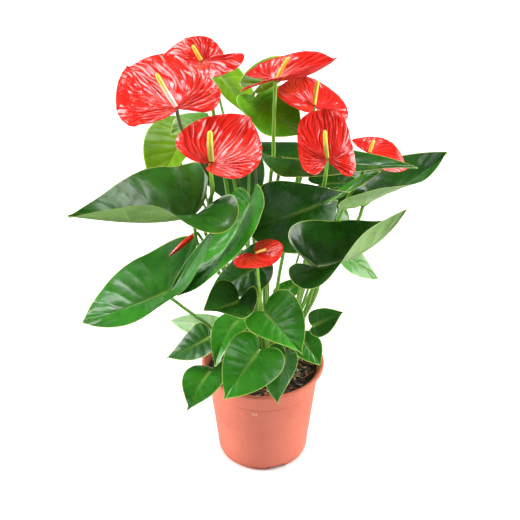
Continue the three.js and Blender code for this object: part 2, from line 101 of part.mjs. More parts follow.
// Radius, then the points of the stalk from the blade down into the soil.
const STALKS = {
  leaf_3: [1.75,[-11.4,-29.5,298.1],[-11,-26,296.1],[-10.3,-22.3,285.5],[-8.2,-13.4,248],[-6.6,-9.8,197.4],[-5.4,-10.4,147.1],[-4.1,-12.6,101],[-4,-12.6,97],[-3.9,-12.5,89]],
  leaf_1: [1.75,[-62,-41.5,293.3],[-60.9,-40.9,289.5],[-58.6,-23.7,252.2],[-37.6,-12.9,209.5],[-31.5,-11.3,200.2],[-25.5,-11.9,190.6],[-21.6,-13.4,180],[-19.7,-13.2,168.4],[-19.3,-13.3,163.7],[-21.8,-9.9,140.4],[-21,-8.4,101],[-20.9,-8.3,97],[-20.8,-8.2,89]],
  leaf_2: [1.75,[-87.1,-53.8,220.9],[-85.9,-53,217.1],[-81.3,-47.5,208.5],[-76.1,-39.7,197.5],[-64.4,-19.3,171.4],[-62.8,-15.6,166.8],[-60.2,-14.1,164.2],[-52.3,-13.6,156.5],[-46.8,-14.2,148.7],[-42.9,-14.7,141.2],[-27.3,-3.6,105],[-27.3,-3.6,101],[-27.4,-3.7,97],[-27.5,-3.9,89]],
  leaf_4: [1.4,[-69.8,51.3,327.2],[-68.6,52.9,323.7],[-73.1,50.9,320.4],[-81.2,46.8,315.9],[-82.8,45.5,313.2],[-80.6,45.1,306.8],[-60.1,44.7,264.4],[-46.2,41.4,230.7],[-34.8,35.8,195.9],[-24.8,27.9,152.8],[-17.3,20,105],[-17.3,20,101],[-17.3,19.9,97],[-17.2,19.7,89]],
  leaf_5: [1.4,[-41.5,74,375.1],[-43.2,75.3,371.7],[-40,82.4,344.3],[-32.2,93.9,300.1],[-31.7,93,296.2],[-31.3,58.3,247.4],[-31.5,44,225.7],[-30.4,41.4,218.7],[-18.5,31.7,169.8],[-8.4,22.9,112.3],[-7.5,22,101],[-7.6,22,97],[-7.8,22,89]],
  leaf_6: [1.4,[-6.2,30,373.1],[-7.6,31.5,369.6],[-8.7,31.2,358.6],[-10.4,30,340],[-13,29.2,291.5],[-13.4,24.7,238.3],[-13.6,19.9,192],[-12,19.7,168.7],[-7.9,18.4,145.9],[-1.4,10.9,105],[-1.3,10.8,101],[-1.2,10.7,97],[-1,10.6,89]],
  leaf_7: [1.75,[17.1,-10,333.8],[15.7,-10.2,330.1],[8.5,-8.8,277.5],[5.1,-6.7,226.9],[4.7,-3.8,167.6],[5.4,-1.3,108.9],[5.4,-1.1,101],[5.4,-1,97],[5.3,-0.9,89]],
  leaf_11: [1.15,[55.4,37.3,280.2],[54.1,37.3,276.4],[37.7,31.8,219.3],[26.1,27,173.4],[15.4,20.3,115.9],[13.8,19.3,105],[13.7,19.4,101],[13.7,19.4,97],[13.7,19.6,89]],
  leaf_8: [1.75,[93.3,29,263.8],[92.6,28.4,259.9],[89.8,27.1,249.8],[62.8,21.1,200.7],[44.4,16.8,161.7],[30,12.6,122],[25,10.9,105],[25,11,101],[24.9,11,97],[24.8,11.1,89]],
  leaf_10: [1.4,[59.6,1.4,281.9],[60.1,4.2,279.1],[57.2,6,264.5],[46.3,7.8,216.2],[34.1,5.6,160.7],[23.7,2,105],[23.8,1.9,101],[23.9,1.9,97],[24.1,1.9,89]],
  leaf_12: [1.4,[68,41.7,237.5],[67.2,44.7,235.1],[63.7,43.9,225.5],[48,33.6,179.6],[36.5,24.3,147.1],[16.9,11.3,105],[16.9,11.4,101],[16.8,11.5,97],[16.7,11.6,89]],
  leaf_14: [1.4,[72.6,53.7,197.7],[70.4,54.7,194.4],[48.7,41.6,160.9],[24.3,22.7,111.5],[21.6,20.8,105],[21.6,20.7,101],[21.6,20.6,97],[21.6,20.5,89]],
  leaf_15: [1.15,[-23.5,-61.1,215.3],[-22.9,-60.1,211.5],[-10,-39.3,160.2],[-3,-26.8,125.8],[-0.6,-19.4,105],[-0.5,-19.5,101],[-0.4,-19.6,97],[-0.3,-19.7,89]],
  leaf_16: [1.4,[-0.9,-35,239.5],[1.4,-33.9,236.3],[3.1,-25.8,203.7],[3.6,-15.5,152.6],[2.6,-8.7,105],[2.6,-8.6,101],[2.7,-8.5,97],[2.7,-8.4,89]],
  leaf_18: [1.4,[-5.3,-62,159.4],[-4.4,-58.1,160],[-3.1,-51.7,152.9],[1,-32.6,125.6],[7,-23.4,105],[7,-23.4,101],[7.1,-23.5,97],[7.2,-23.7,89]],
  leaf_13: [1.75,[47.7,-79,264.4],[46.6,-78.7,260.5],[47.9,-67.5,232.8],[34.6,-47,181.2],[24.5,-32.3,136.1],[19.8,-26.2,115.2],[16.6,-23.3,105],[16.6,-23.4,101],[16.5,-23.5,97],[16.3,-23.6,89]],
  leaf_9: [1.75,[49.4,-32.7,300.3],[50,-29.9,297.5],[48.8,-24.8,279.5],[43.1,-15.7,239.6],[37.7,-10.9,202.8],[31.5,-9.2,157.9],[26,-10.2,116.4],[24.4,-11.2,101],[24.3,-11.3,97],[24.1,-11.4,89]],
  leaf_19: [1.15,[-51.3,-30,153.3],[-49.5,-28.8,149.9],[-14.6,-10.5,108.1],[-12.8,-9.5,105],[-12.7,-9.5,101],[-12.6,-9.5,97],[-12.4,-9.4,89]],
  leaf_17: [1.4,[1.9,-55,199.4],[0.8,-53.1,196.1],[-0.7,-46.2,178.8],[1.4,-36.6,158.9],[8,-17.1,111.9],[8.7,-14.9,105],[8.6,-14.9,101],[8.6,-15,97],[8.4,-15.1,89]],
  leaf_20: [1.15,[-50,-50,127.7],[-49.1,-48.8,124],[-39.4,-40.5,118.6],[-14,-19.3,106.8],[-12.1,-17.6,105],[-11.9,-17.6,101],[-11.8,-17.6,97],[-11.6,-17.5,89]],
  leaf_23: [1.15,[48.1,-10,152.8],[47.3,-8.3,149.3],[33.6,-6.4,127.2],[19,-4.9,105],[19,-4.8,101],[19.1,-4.8,97],[19.2,-4.6,89]],
  leaf_21: [1.4,[-24.3,-20.9,165.5],[-23.5,-19.6,161.8],[-17.4,-11.2,134.4],[-7.8,-2.7,105],[-7.8,-2.7,101],[-7.9,-2.8,97],[-8.1,-2.8,89]],
  leaf_24: [1.15,[38.3,-19.9,141.9],[37.2,-17.7,138.7],[12.9,-7.6,108.1],[11.2,-6.8,105],[11.3,-6.9,101],[11.4,-7,97],[11.6,-7.1,89]],
  leaf_27: [1.15,[-54.1,38,347.7],[-56.9,39.6,345.4],[-57,35,343.7],[-55.1,23.5,340.9],[-54.4,21.5,338.9],[-54.8,19.6,333.2],[-56.8,18.1,323.9],[-55.3,21.8,299.1],[-51.5,25.6,267.2],[-45.7,26.2,235],[-35.6,22.8,192],[-22.3,15.5,134.2],[-16.7,12.1,105],[-16.6,12,101],[-16.6,11.9,97],[-16.5,11.8,89]],
  leaf_26: [1.15,[19.5,12,175],[18.6,12.2,171.1],[8.3,6.7,112.4],[7.3,6.1,101],[7.4,6.1,97],[7.6,6.1,89]],
  leaf_22: [1.15,[20.9,-47.4,145.6],[21.9,-44.7,142.9],[17.2,-23.5,117.3],[16.7,-15.3,105],[16.6,-15.4,101],[16.5,-15.4,97],[16.4,-15.6,89]],
  leaf_28: [1.4,[-1,28,388.4],[-1.8,26.9,384.6],[-8.5,32.7,375.8],[-10,30.1,371.2],[-9.5,27.6,363.5],[-10.4,25.7,348.3],[-6.1,19.4,290.4],[-1.9,15.6,230.7],[2.3,14.4,170.9],[6.6,14.4,112.7],[7,14.4,101],[6.9,14.4,97],[6.6,14.4,89]],
  leaf_25: [1.15,[-47.8,0,144.6],[-46.6,0.2,140.8],[-16.7,3.9,110.8],[-11.9,4.8,105],[-11.8,4.7,101],[-11.6,4.6,97],[-11.3,4.4,89]],
  spathe_2: [1.9,[-52.6,20,412.8],[-51.9,20.7,408.9],[-41.8,14,353.1],[-36.5,9.6,320.3],[-31.1,12.6,268.9],[-27.6,12,215.6],[-25,9,156.5],[-23.3,5.7,101],[-23.4,5.7,97],[-23.6,5.7,89]],
  spathe_3: [1.9,[10.5,0,403.5],[10.3,0.1,399.5],[9.2,-5.6,365],[8.9,-8.2,349.7],[9.1,-10,337.8],[8.3,-11.2,332.8],[3.4,-2.2,275.9],[-0.2,1.2,226.4],[-2.8,2.2,167.5],[-2.3,2.8,108.9],[-2.3,2.9,101],[-2.3,2.9,97],[-2.3,3,89]],
  spathe_1: [1.9,[-71.5,-50,401.9],[-71.2,-49.8,397.9],[-68.1,-41.5,377.9],[-49.5,-19.4,326],[-45.7,-14.7,312.7],[-48.7,-7.4,263.7],[-47.6,-7.7,256.5],[-33.2,-16.1,207.5],[-31.3,-15.7,196.4],[-28.6,-12.9,185.8],[-23.6,-9.7,176],[-19.6,-8.6,169.7],[-17,-9,162.4],[-14.5,-14.3,139.8],[-19.6,-17.9,105],[-19.7,-17.9,101],[-19.8,-17.9,97],[-20,-17.9,89]],
  spathe_4: [1.9,[44.5,10,374.4],[43.8,10.2,370.4],[37.4,29.6,331.7],[36.9,29.9,327.7],[27.7,17.1,274],[20.2,10.6,230],[12.7,5.8,174.3],[14.5,3.8,116.6],[15,3.7,101],[15,3.7,97],[15.1,3.9,89]],
  spathe_5: [1.9,[53.5,-60,359.7],[53.4,-58.8,355.9],[52.5,-45.2,329.6],[50.9,-29.5,306.2],[47.8,-26.4,299.7],[45.1,-25.4,288.2],[37.4,-24,229.9],[30.3,-19.9,173.4],[26.9,-17.3,143.2],[25.9,-19,101],[25.8,-19.1,97],[25.8,-19.2,89]],
  spathe_7: [1.9,[95.3,20.6,322.7],[94.5,20.8,318.7],[91.6,31.3,297.4],[90.7,31.6,293.8],[85.2,28.7,283.6],[78.8,25.5,273.4],[64.2,15.4,235.7],[49.8,6.9,193.6],[39.2,1.5,153.7],[29.9,-3.1,105],[29.9,-3.2,101],[29.9,-3.3,97],[29.9,-3.5,89]],
  spathe_8: [1.5,[-6.1,-86.2,282.4],[-5.3,-86,278.5],[-4.5,-73.7,250.1],[-0.7,-49.3,197.4],[3,-44.2,179.4],[4.1,-39.7,153.1],[4.2,-34.7,123.2],[2.1,-29.8,105],[2.1,-29.8,101],[2.1,-29.8,97],[2.2,-29.7,89]],
  spathe_6: [1.9,[-42.8,-90,372.4],[-43.2,-89.5,368.4],[-43.1,-69.1,345],[-43.4,-48.8,322.2],[-46.8,-34.3,305.3],[-52.3,-13.5,260.5],[-52.2,-12.6,257.2],[-38.4,-18,232.3],[-14.9,-27,188],[-7.2,-29.6,171.7],[-6.4,-29.6,164.2],[-7.3,-26.1,123.7],[-6.6,-25,101],[-6.6,-24.9,97],[-6.7,-24.8,89]],
  leaf_29: [1.75,[-31.8,45.6,307.1],[-30.9,44.4,303.4],[-20.5,32.4,248],[-10.2,22.7,191.3],[-8.1,17.6,168.3],[-8.6,14,144.8],[-8.7,13.8,109],[-8.5,13.8,101],[-8.5,13.8,97],[-8.3,13.8,89]],
  leaf_30: [1.75,[7.6,64,217.2],[7.4,61.9,213.8],[1.1,50.3,202.5],[0.7,47.1,195.7],[1.4,30.3,141.3],[1.1,20.3,105],[1.1,20.1,101],[1,20,97],[0.9,19.8,89]],
  leaf_31: [1.75,[38.4,56.2,293.3],[38,54.7,289.6],[24.1,36.9,234.3],[21.3,34.5,219.8],[12.5,29.6,161.1],[6.5,25.8,105],[6.6,25.8,101],[6.6,25.8,97],[6.7,25.7,89]],
  leaf_32: [1.4,[-6.1,61.5,191.1],[-5.1,59.8,187.6],[-3.9,38.4,132.7],[-3.2,29,105],[-3.3,28.9,101],[-3.4,28.8,97],[-3.6,28.7,89]],
  bud: [1.5,[-60.3,-23.9,265.2],[-58.8,-20.9,263],[-51.7,-14.6,244.1],[-40.5,-6.8,211],[-31.8,-2.4,179.3],[-25.5,-0.7,150],[-17.9,-0.4,105],[-17.9,-0.3,101],[-17.9,-0.2,97],[-17.9,0,89]],
};

// Radius, base, tip.
const SPADICES = {
  spathe_2: [1.79,[-53.5,19.7,413.6],[-61,23.3,426.3]],
  spathe_3: [1.77,[11.3,0,404.5],[21.9,7.3,422.2]],
  spathe_1: [2.09,[-72,-49.5,403],[-88,-40.7,429.3]],
  spathe_4: [2.01,[44.6,10.6,375.5],[47.8,20.2,394.8]],
  spathe_5: [1.92,[53.4,-59.9,361],[50.8,-59.3,386.6]],
  spathe_7: [1.66,[96.2,20.6,323.5],[100.1,26.5,332.7]],
  spathe_8: [1.37,[-5.9,-86.6,283.6],[3,-95.1,292.6]],
  spathe_6: [2.61,[-42.2,-89.7,373.5],[-43.2,-80.6,397.1]],
};
const BUD = [[-60.3, -23.9, 265.2], [-85.5, -35.6, 247]];
const TONE = {"leaf_3": "m", "leaf_4": "y", "leaf_5": "y", "leaf_6": "y", "leaf_10": "b", "leaf_12": "m", "leaf_14": "b", "leaf_27": "b", "leaf_28": "y", "leaf_17": "m", "leaf_19": "m", "leaf_20": "m", "leaf_22": "b", "leaf_24": "m", "leaf_25": "b", "leaf_26": "m"};

// ---------------------------------------------------------------- helpers
const add = (a, b) => [a[0] + b[0], a[1] + b[1], a[2] + b[2]];
const sub = (a, b) => [a[0] - b[0], a[1] - b[1], a[2] - b[2]];
const mul = (a, s) => [a[0] * s, a[1] * s, a[2] * s];
const dot = (a, b) => a[0] * b[0] + a[1] * b[1] + a[2] * b[2];
const cross = (a, b) => [a[1] * b[2] - a[2] * b[1], a[2] * b[0] - a[0] * b[2], a[0] * b[1] - a[1] * b[0]];
const len = (a) => Math.hypot(a[0], a[1], a[2]);
const unit = (a) => mul(a, 1 / len(a));
const clamp = (x, a, b) => Math.min(b, Math.max(a, x));

function catmull(tab, t) {
  const n = tab.length - 1, x = clamp(t, 0, 1) * n, i = Math.min(Math.floor(x), n - 1), u = x - i;
  const p1 = tab[i], p2 = tab[i + 1];
  const p0 = i > 0 ? tab[i - 1] : p1.map((v, k) => 2 * v - p2[k]);
  const p3 = i < n - 1 ? tab[i + 2] : p2.map((v, k) => 2 * v - p1[k]);
  return p1.map((v, k) => 0.5 * (2 * v + (p2[k] - p0[k]) * u + (2 * p0[k] - 5 * v + 4 * p2[k] - p3[k]) * u * u + (3 * v - p0[k] - 3 * p2[k] + p3[k]) * u ** 3));
}

function blade(row, outline) {
  const [A, ey, ez, [L, W, asym, lobe], [fl, fr, gl, gr, cl, cr, ol, or], [k1, k2, ks, tau], wr, wl] = row;
  const ex = unit(cross(ey, ez));
  return { A, ex, ey, ez, L, W, asym, lobe, fl, fr, gl, gr, cl, cr, ol, or, k1, k2, ks, tau, wr, wl, outline };
}

// A point of the sheet's middle surface. side +1 right, -1 left, t along the
// margin from attachment to tip, v from midrib (0) to margin (1).
function surf(b, side, t, v) {
  const m = catmull(b.outline, t);
  const ym = m[1] < 0 ? (m[1] * b.lobe) / 0.25 : m[1];
  const g = clamp((t - MID_START) / (1 - MID_START), 0, 1) ** 1.6;
  const s = m[0] * (b.W / 2) * (1 + side * b.asym) * v;
  const Y = (g + (ym - g) * v) * b.L, y = Y / b.L;
  const phi = (side > 0 ? b.fr + b.gr * clamp(y, -0.4, 1) : b.fl + b.gl * clamp(y, -0.4, 1));
  let k = (side > 0 ? b.cr : b.cl) / (b.W / 2);
  if (Math.abs(k) < 1e-7) k = 1e-7;
  const a = phi + k * s;
  const lat = (Math.sin(a) - Math.sin(phi)) / k;
  const up = (Math.cos(phi) - Math.cos(a)) / k + (side > 0 ? b.or : b.ol) * (y < 0 ? y * y : 0) * b.L;
  let cx = 0, cy = 0, cz = 0;
  const N = 24;
  for (let i = 0; i <= N; i++) {
    const yy = (y * i) / N, w = (i === 0 || i === N ? 0.5 : 1) / N;
    const an = b.k1 * yy + b.k2 * yy * yy, sb = b.ks * yy;
    cx += w * Math.cos(an) * Math.sin(sb); cy += w * Math.cos(an) * Math.cos(sb); cz += w * Math.sin(an);
  }
  const An = b.k1 * y + b.k2 * y * y, S = b.ks * y, tw = b.tau * y;
  const ty = [Math.cos(An) * Math.sin(S), Math.cos(An) * Math.cos(S), Math.sin(An)];
  const tx = [Math.cos(S), -Math.sin(S), 0];
  const tz = cross(tx, ty);
  const xx = add(mul(tx, Math.cos(tw)), mul(tz, Math.sin(tw)));
  const zz = add(mul(tx, -Math.sin(tw)), mul(tz, Math.cos(tw)));
  const q = add(add([cx * Y, cy * Y, cz * Y], mul(xx, side * lat)), mul(zz, up));
  let P = add(b.A, add(mul(b.ex, q[0]), add(mul(b.ey, q[1]), mul(b.ez, q[2]))));
  const wt = side > 0 ? b.wr : b.wl, tab = [[0, 0]];
  for (let i = 0; i < 8; i++) tab.push([wt[2 * i], wt[2 * i + 1]]);
  tab.push([0, 0]);
  const wv = catmull(tab, t);
  return add(P, add(mul(WARP_U, wv[0] * v * v), mul(WARP_V, wv[1] * v * v)));
}

// Closed sheet of even thickness: two skins and a rim. The halves either side
// of the midrib are joined as solids, so lobes that touch become one.
function sheet(b, ts, nv, thick) {
  const pts = [], tris = { 1: [], [-1]: [] };
  const id = (p) => {
    for (let i = 0; i < pts.length; i++) if (Math.abs(pts[i][0] - p[0]) + Math.abs(pts[i][1] - p[1]) + Math.abs(pts[i][2] - p[2]) < 1e-3) return i;
    pts.push(p); return pts.length - 1;
  };
  for (const side of [1, -1]) {
    const tri = (a, c, d) => { if (a !== c && c !== d && a !== d) tris[side].push([a, c, d]); };
    const g = ts.map((t) => { const r = []; for (let j = 0; j <= nv; j++) r.push(id(surf(b, side, t, j / nv))); return r; });
    for (let i = 0; i < ts.length - 1; i++) for (let j = 0; j < nv; j++) {
      if (i === 0 && j > 0) continue; // the first row is the attachment point alone
      const p = g[i][j], q = g[i][j + 1], r = g[i + 1][j + 1], s = g[i + 1][j];
      if (side > 0) { tri(p, q, r); tri(p, r, s); } else { tri(p, r, q); tri(p, s, r); }
    }
  }
  const nrm = pts.map(() => [0, 0, 0]);
  for (const t of [...tris[1], ...tris[-1]]) {
    const n = cross(sub(pts[t[1]], pts[t[0]]), sub(pts[t[2]], pts[t[0]]));
    for (const i of t) nrm[i] = add(nrm[i], n);
  }
  const half = (side) => {
    const V = [], F = [], edge = new Map(), at = new Map();
    for (const i of new Set(tris[side].flat())) { at.set(i, V.length); V.push(add(pts[i], mul(unit(nrm[i]), thick / 2)), add(pts[i], mul(unit(nrm[i]), -thick / 2))); }
    for (const [a, c, d] of tris[side]) {
      F.push([a, c, d].map((i) => at.get(i)), [a, d, c].map((i) => at.get(i) + 1));
      for (const [u, w] of [[a, c], [c, d], [d, a]]) edge.set(u + "_" + w, [u, w]);
    }
    for (const [, [u, w]] of edge) if (!edge.has(w + "_" + u)) {
      const p = at.get(u), q = at.get(w);
      if (u < w) F.push([q, p, p + 1], [q, p + 1, q + 1]); else F.push([p + 1, q + 1, p], [q + 1, q, p]);
    }
    return solid({ V, F });
  };
  return half(1).add(half(-1));
}

// Swept tube with one radius per point, closed by flat ends.
function tube(P, rad, sides) {
  const n = P.length, V = [], F = [];
  const tan = P.map((p, i) => unit(sub(P[Math.min(i + 1, n - 1)], P[Math.max(i - 1, 0)])));
  tan[0] = unit(sub(P[1], P[0])); tan[n - 1] = unit(sub(P[n - 1], P[n - 2]));
  let u = unit(cross(tan[0], Math.abs(tan[0][2]) < 0.9 ? [0, 0, 1] : [1, 0, 0]));
  for (let i = 0; i < n; i++) {
    u = unit(sub(u, mul(tan[i], dot(u, tan[i]))));
    const w = cross(tan[i], u), r = typeof rad === "number" ? rad : rad[i];
    for (let k = 0; k < sides; k++) {
      const a = (2 * Math.PI * k) / sides;
      V.push(add(P[i], add(mul(u, r * Math.cos(a)), mul(w, r * Math.sin(a)))));
    }
  }
  for (let i = 0; i < n - 1; i++) for (let k = 0; k < sides; k++) {
    const a = i * sides + k, b = i * sides + ((k + 1) % sides), c = b + sides, d = a + sides;
    F.push([a, b, c], [a, c, d]);
  }
  for (let k = 1; k < sides - 1; k++) { F.push([0, k + 1, k]); const o = (n - 1) * sides; F.push([o, o + k, o + k + 1]); }
  return { V, F, u };
}

function solid(g) {
  for (const p of g.V) if (!p.every(Number.isFinite)) throw new Error("bad point");
  return Manifold.ofMesh(new Mesh({ numProp: 3, vertProperties: new Float32Array(g.V.flat()), triVerts: new Uint32Array(g.F.flat()) }));
}
function toGeometry(m) {
  const o = m.getMesh(), pos = [], np = o.numProp;
  for (const i of o.triVerts) pos.push(o.vertProperties[i * np], o.vertProperties[i * np + 1], o.vertProperties[i * np + 2]);
  const g = new THREE.BufferGeometry();
  g.setAttribute("position", new THREE.Float32BufferAttribute(pos, 3));
  g.computeVertexNormals();
  return g;
}

const group = new THREE.Group();
function piece(name, m, color, roughness) {
  const mesh = new THREE.Mesh(toGeometry(m.translate(SHIFT).simplify(0.004)), new THREE.MeshStandardMaterial({ color, roughness, metalness: 0 }));
  mesh.name = name;
  group.add(mesh);
}

// A three.js geometry as a solid: shared corners merged, empty triangles dropped.
function fromGeometry(g) {
  g.deleteAttribute("normal"); g.deleteAttribute("uv");
  const m = mergeVertices(g, 1e-4), ix = m.index.array, F = [];
  for (let i = 0; i < ix.length; i += 3) if (ix[i] !== ix[i + 1] && ix[i + 1] !== ix[i + 2] && ix[i] !== ix[i + 2]) F.push([ix[i], ix[i + 1], ix[i + 2]]);
  const p = m.attributes.position.array, V = [];
  for (let i = 0; i < p.length; i += 3) V.push([p[i], p[i + 1], p[i + 2]]);
  let volume = 0;
  for (const [a, b, c] of F) volume += dot(V[a], cross(V[b], V[c]));
  return solid({ V, F: volume < 0 ? F.map(([a, b, c]) => [a, c, b]) : F });
}

// Turned solid from a closed profile of [radius, z].
function turned(profile, sides) {
  const points = [...profile, profile[0]].map(([r, z]) => new THREE.Vector2(r, z));
  return fromGeometry(new THREE.LatheGeometry(points, sides).rotateX(Math.PI / 2));
}

// ---------------------------------------------------------------- pot
const wallR = (z) => POT_BASE_R + ((POT_WALL_TOP_R - POT_BASE_R) * z) / (POT_H - RIM_H);
const stepZ = POT_H - STEP_BELOW_RIM;
let pot = turned([
  [0, FOOT_H], [FOOT_R - FOOT_W, FOOT_H], [FOOT_R - FOOT_W, 0], [FOOT_R - 0.4, 0],
  [FOOT_R, 3.9], [wallR(4.8), 4.8], [wallR(stepZ) - 0.5, stepZ], [wallR(stepZ) + 0.3, stepZ + 0.8],
  [POT_WALL_TOP_R + 0.3, POT_H - RIM_H], [POT_RIM_R - 1, POT_H - RIM_H], [POT_RIM_R, POT_H - RIM_H + 1.2],
  [POT_RIM_R, POT_H - 1.4], [POT_RIM_R - 1.2, POT_H], [POT_RIM_R - 3.2, POT_H],
  [POT_WALL_TOP_R - POT_WALL, POT_H - RIM_H], [wallR(5.8) - POT_WALL, 5.8], [0, 5.8],
], POT_SIDES);
for (const az of NOTCH_AZ) {
  const box = new THREE.BoxGeometry(16, NOTCH[0], 2 * NOTCH[1]).translate(FOOT_R, 0, 0).rotateZ(THREE.MathUtils.degToRad(az));
  pot = pot.subtract(fromGeometry(box));
}
for (let i = 0; i < DRAIN_N; i++) {
  const a = (2 * Math.PI * (i + 0.5)) / DRAIN_N;
  const plug = new THREE.CylinderGeometry(DRAIN_R, DRAIN_R, 12, 8).rotateX(Math.PI / 2).translate(DRAIN_RING_R * Math.cos(a), DRAIN_RING_R * Math.sin(a), 4);
  pot = pot.subtract(fromGeometry(plug));
}
piece("pot", pot, POT_RED, 0.45);

// ---------------------------------------------------------------- soil
const inR = (z) => wallR(5.8) - POT_WALL + ((POT_WALL_TOP_R - wallR(5.8)) * (z - 5.8)) / (POT_H - RIM_H - 5.8) - SOIL_GAP;
let soil = turned([[0, 6.2], [inR(6.2) - 0.3, 6.2], [inR(SOIL_TOP - 3), SOIL_TOP - 3], [inR(SOIL_TOP) - 6, SOIL_TOP], [0, SOIL_TOP]], POT_SIDES);

// ---------------------------------------------------------------- stalks
// The last point of a stalk lies in the soil; a socket of the same section
// is cut round it.
function stalk(key, from) {
  const [r, ...pts] = STALKS[key];
  const P = from ? [from, ...pts.slice(2)] : [add(pts[0], mul(unit(sub(pts[0], pts[1])), 0.6)), ...pts.slice(1)];
  const g = tube(P, P.map((_, i) => r * (i === 0 && from ? 0.9 : 1)), STALK_SIDES);
  const n = P.length, d = unit(sub(P[n - 1], P[n - 2]));
  const V = [], F = [], w = cross(d, g.u), R = r + SOCKET_GAP / Math.cos(Math.PI / STALK_SIDES);
  for (const c of [add(P[n - 2], mul(d, -5)), add(P[n - 1], mul(d, SOCKET_GAP))]) for (let k = 0; k < STALK_SIDES; k++) {
    const a = (2 * Math.PI * k) / STALK_SIDES;
    V.push(add(c, add(mul(g.u, R * Math.cos(a)), mul(w, R * Math.sin(a)))));
  }
  for (let k = 0; k < STALK_SIDES; k++) { const b = (k + 1) % STALK_SIDES; F.push([k, b, b + STALK_SIDES], [k, b + STALK_SIDES, k + STALK_SIDES]); }
  for (let k = 1; k < STALK_SIDES - 1; k++) F.push([0, k + 1, k], [STALK_SIDES, STALK_SIDES + k, STALK_SIDES + k + 1]);
  soil = soil.subtract(solid({ V, F }));
  return solid(g);
}

// ---------------------------------------------------------------- leaves
// Blade and petiole grow as one, so each leaf is one piece.
const T_BIG = [0, 0.08, 0.17, 0.27, 0.36, 0.45, 0.54, 0.63, 0.72, 0.82, 0.91, 1];
const T_MID = [0, 0.1, 0.22, 0.34, 0.46, 0.58, 0.72, 0.86, 1], T_SMALL = [0, 0.12, 0.26, 0.4, 0.55, 0.76, 1];
for (const key of Object.keys(BLADES)) {
  if (!key.startsWith("leaf")) continue;
  const b = blade(BLADES[key], LEAF);
  const body = sheet(b, b.L > 80 ? T_BIG : b.L > 48 ? T_MID : T_SMALL, b.L > 80 ? 3 : 2, BLADE_T);
  piece(key, body.add(stalk(key)), GREENS[TONE[key] ?? "d"], 0.3);
}

// ---------------------------------------------------------------- flowers
for (const key of Object.keys(SPADICES)) {
  const no = key.split("_")[1];
  const b = blade(BLADES[key], SPATHE);
  piece("spathe_" + no, sheet(b, b.L > 55 ? T_BIG : b.L > 35 ? T_MID : T_SMALL, 2, BLADE_T), SPATHE_RED, 0.22);
  const [r, base, tip] = SPADICES[key];
  const ax = unit(sub(tip, base)), L = len(sub(tip, base)), tilt = Math.sqrt(Math.max(0, 1 - dot(ax, b.ez) ** 2));
  const p0 = add(base, mul(ax, r * (0.4 + tilt) + 0.1));
  piece("spadix_" + no, solid(tube([0, 0.35, 0.75, 0.95, 1].map((s) => add(p0, mul(sub(tip, p0), s))), [r * 0.7, r, r * 0.86, r * 0.62, r * 0.3], 6)), SPADIX_YELLOW, 0.6);
  const second = STALKS[key][2], d = unit(sub(second, b.A));
  const lean = Math.sqrt(Math.max(0, 1 - dot(d, b.ez) ** 2));
  const start = add(b.A, mul(d, (BLADE_T / 2 + PETIOLE_GAP + STALKS[key][0] * lean) / Math.max(0.35, Math.abs(dot(d, b.ez)))));
  piece("peduncle_" + no, stalk(key, start), STALK_GREEN, 0.45);
}
{
  const [a, c] = BUD, at = (s) => add(a, mul(sub(c, a), s));
  piece("spathe_9", solid(tube([0, 0.14, 0.38, 0.62, 0.86, 1].map(at), [1.1, 2.3, 2.8, 2.5, 1.4, 0.5], 6)), SPATHE_RED, 0.22);
  const d = unit(sub(STALKS.bud[2], a));
  piece("peduncle_9", stalk("bud", add(a, mul(d, 1.9))), STALK_GREEN, 0.45);
}
piece("soil", soil, PEAT, 0.95);

export default group;
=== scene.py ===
import bpy, math
import numpy as np
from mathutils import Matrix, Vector


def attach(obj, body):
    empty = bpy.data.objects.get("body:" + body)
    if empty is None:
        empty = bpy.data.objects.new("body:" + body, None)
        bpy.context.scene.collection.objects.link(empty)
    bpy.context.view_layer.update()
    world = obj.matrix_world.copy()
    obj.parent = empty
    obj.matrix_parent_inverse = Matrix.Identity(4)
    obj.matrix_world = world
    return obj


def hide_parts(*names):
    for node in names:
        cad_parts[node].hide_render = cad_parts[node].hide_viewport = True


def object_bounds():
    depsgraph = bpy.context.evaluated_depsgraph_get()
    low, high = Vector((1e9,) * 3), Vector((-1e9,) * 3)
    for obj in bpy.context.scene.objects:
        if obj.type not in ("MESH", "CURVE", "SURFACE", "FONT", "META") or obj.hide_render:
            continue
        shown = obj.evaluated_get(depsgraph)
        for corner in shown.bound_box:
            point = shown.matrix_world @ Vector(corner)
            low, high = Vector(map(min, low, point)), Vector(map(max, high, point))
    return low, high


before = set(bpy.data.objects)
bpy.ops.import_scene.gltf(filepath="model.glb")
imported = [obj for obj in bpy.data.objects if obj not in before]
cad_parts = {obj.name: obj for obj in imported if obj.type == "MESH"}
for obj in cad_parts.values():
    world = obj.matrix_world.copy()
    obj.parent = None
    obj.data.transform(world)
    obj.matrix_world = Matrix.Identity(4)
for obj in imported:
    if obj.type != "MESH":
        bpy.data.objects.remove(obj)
CAD_LO, CAD_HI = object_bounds()
MM = 0.001
SHIFT = np.array([-6.59, -9.14, 0.0])

# ------------------------------------------------------------------ camera
cam_data = bpy.data.cameras.new("camera")
cam_data.sensor_width = 36.0
cam_data.lens = 90.0
cam_data.clip_start, cam_data.clip_end = 0.05, 60
cam = bpy.data.objects.new("camera", cam_data)
bpy.context.scene.collection.objects.link(cam)
cam.location = ((-2.84 + SHIFT[0]) * MM, (-1018.9 + SHIFT[1]) * MM, 876.9 * MM)
cam.rotation_euler = (math.pi / 2 - 0.572, 0, 0)
bpy.context.scene.camera = cam

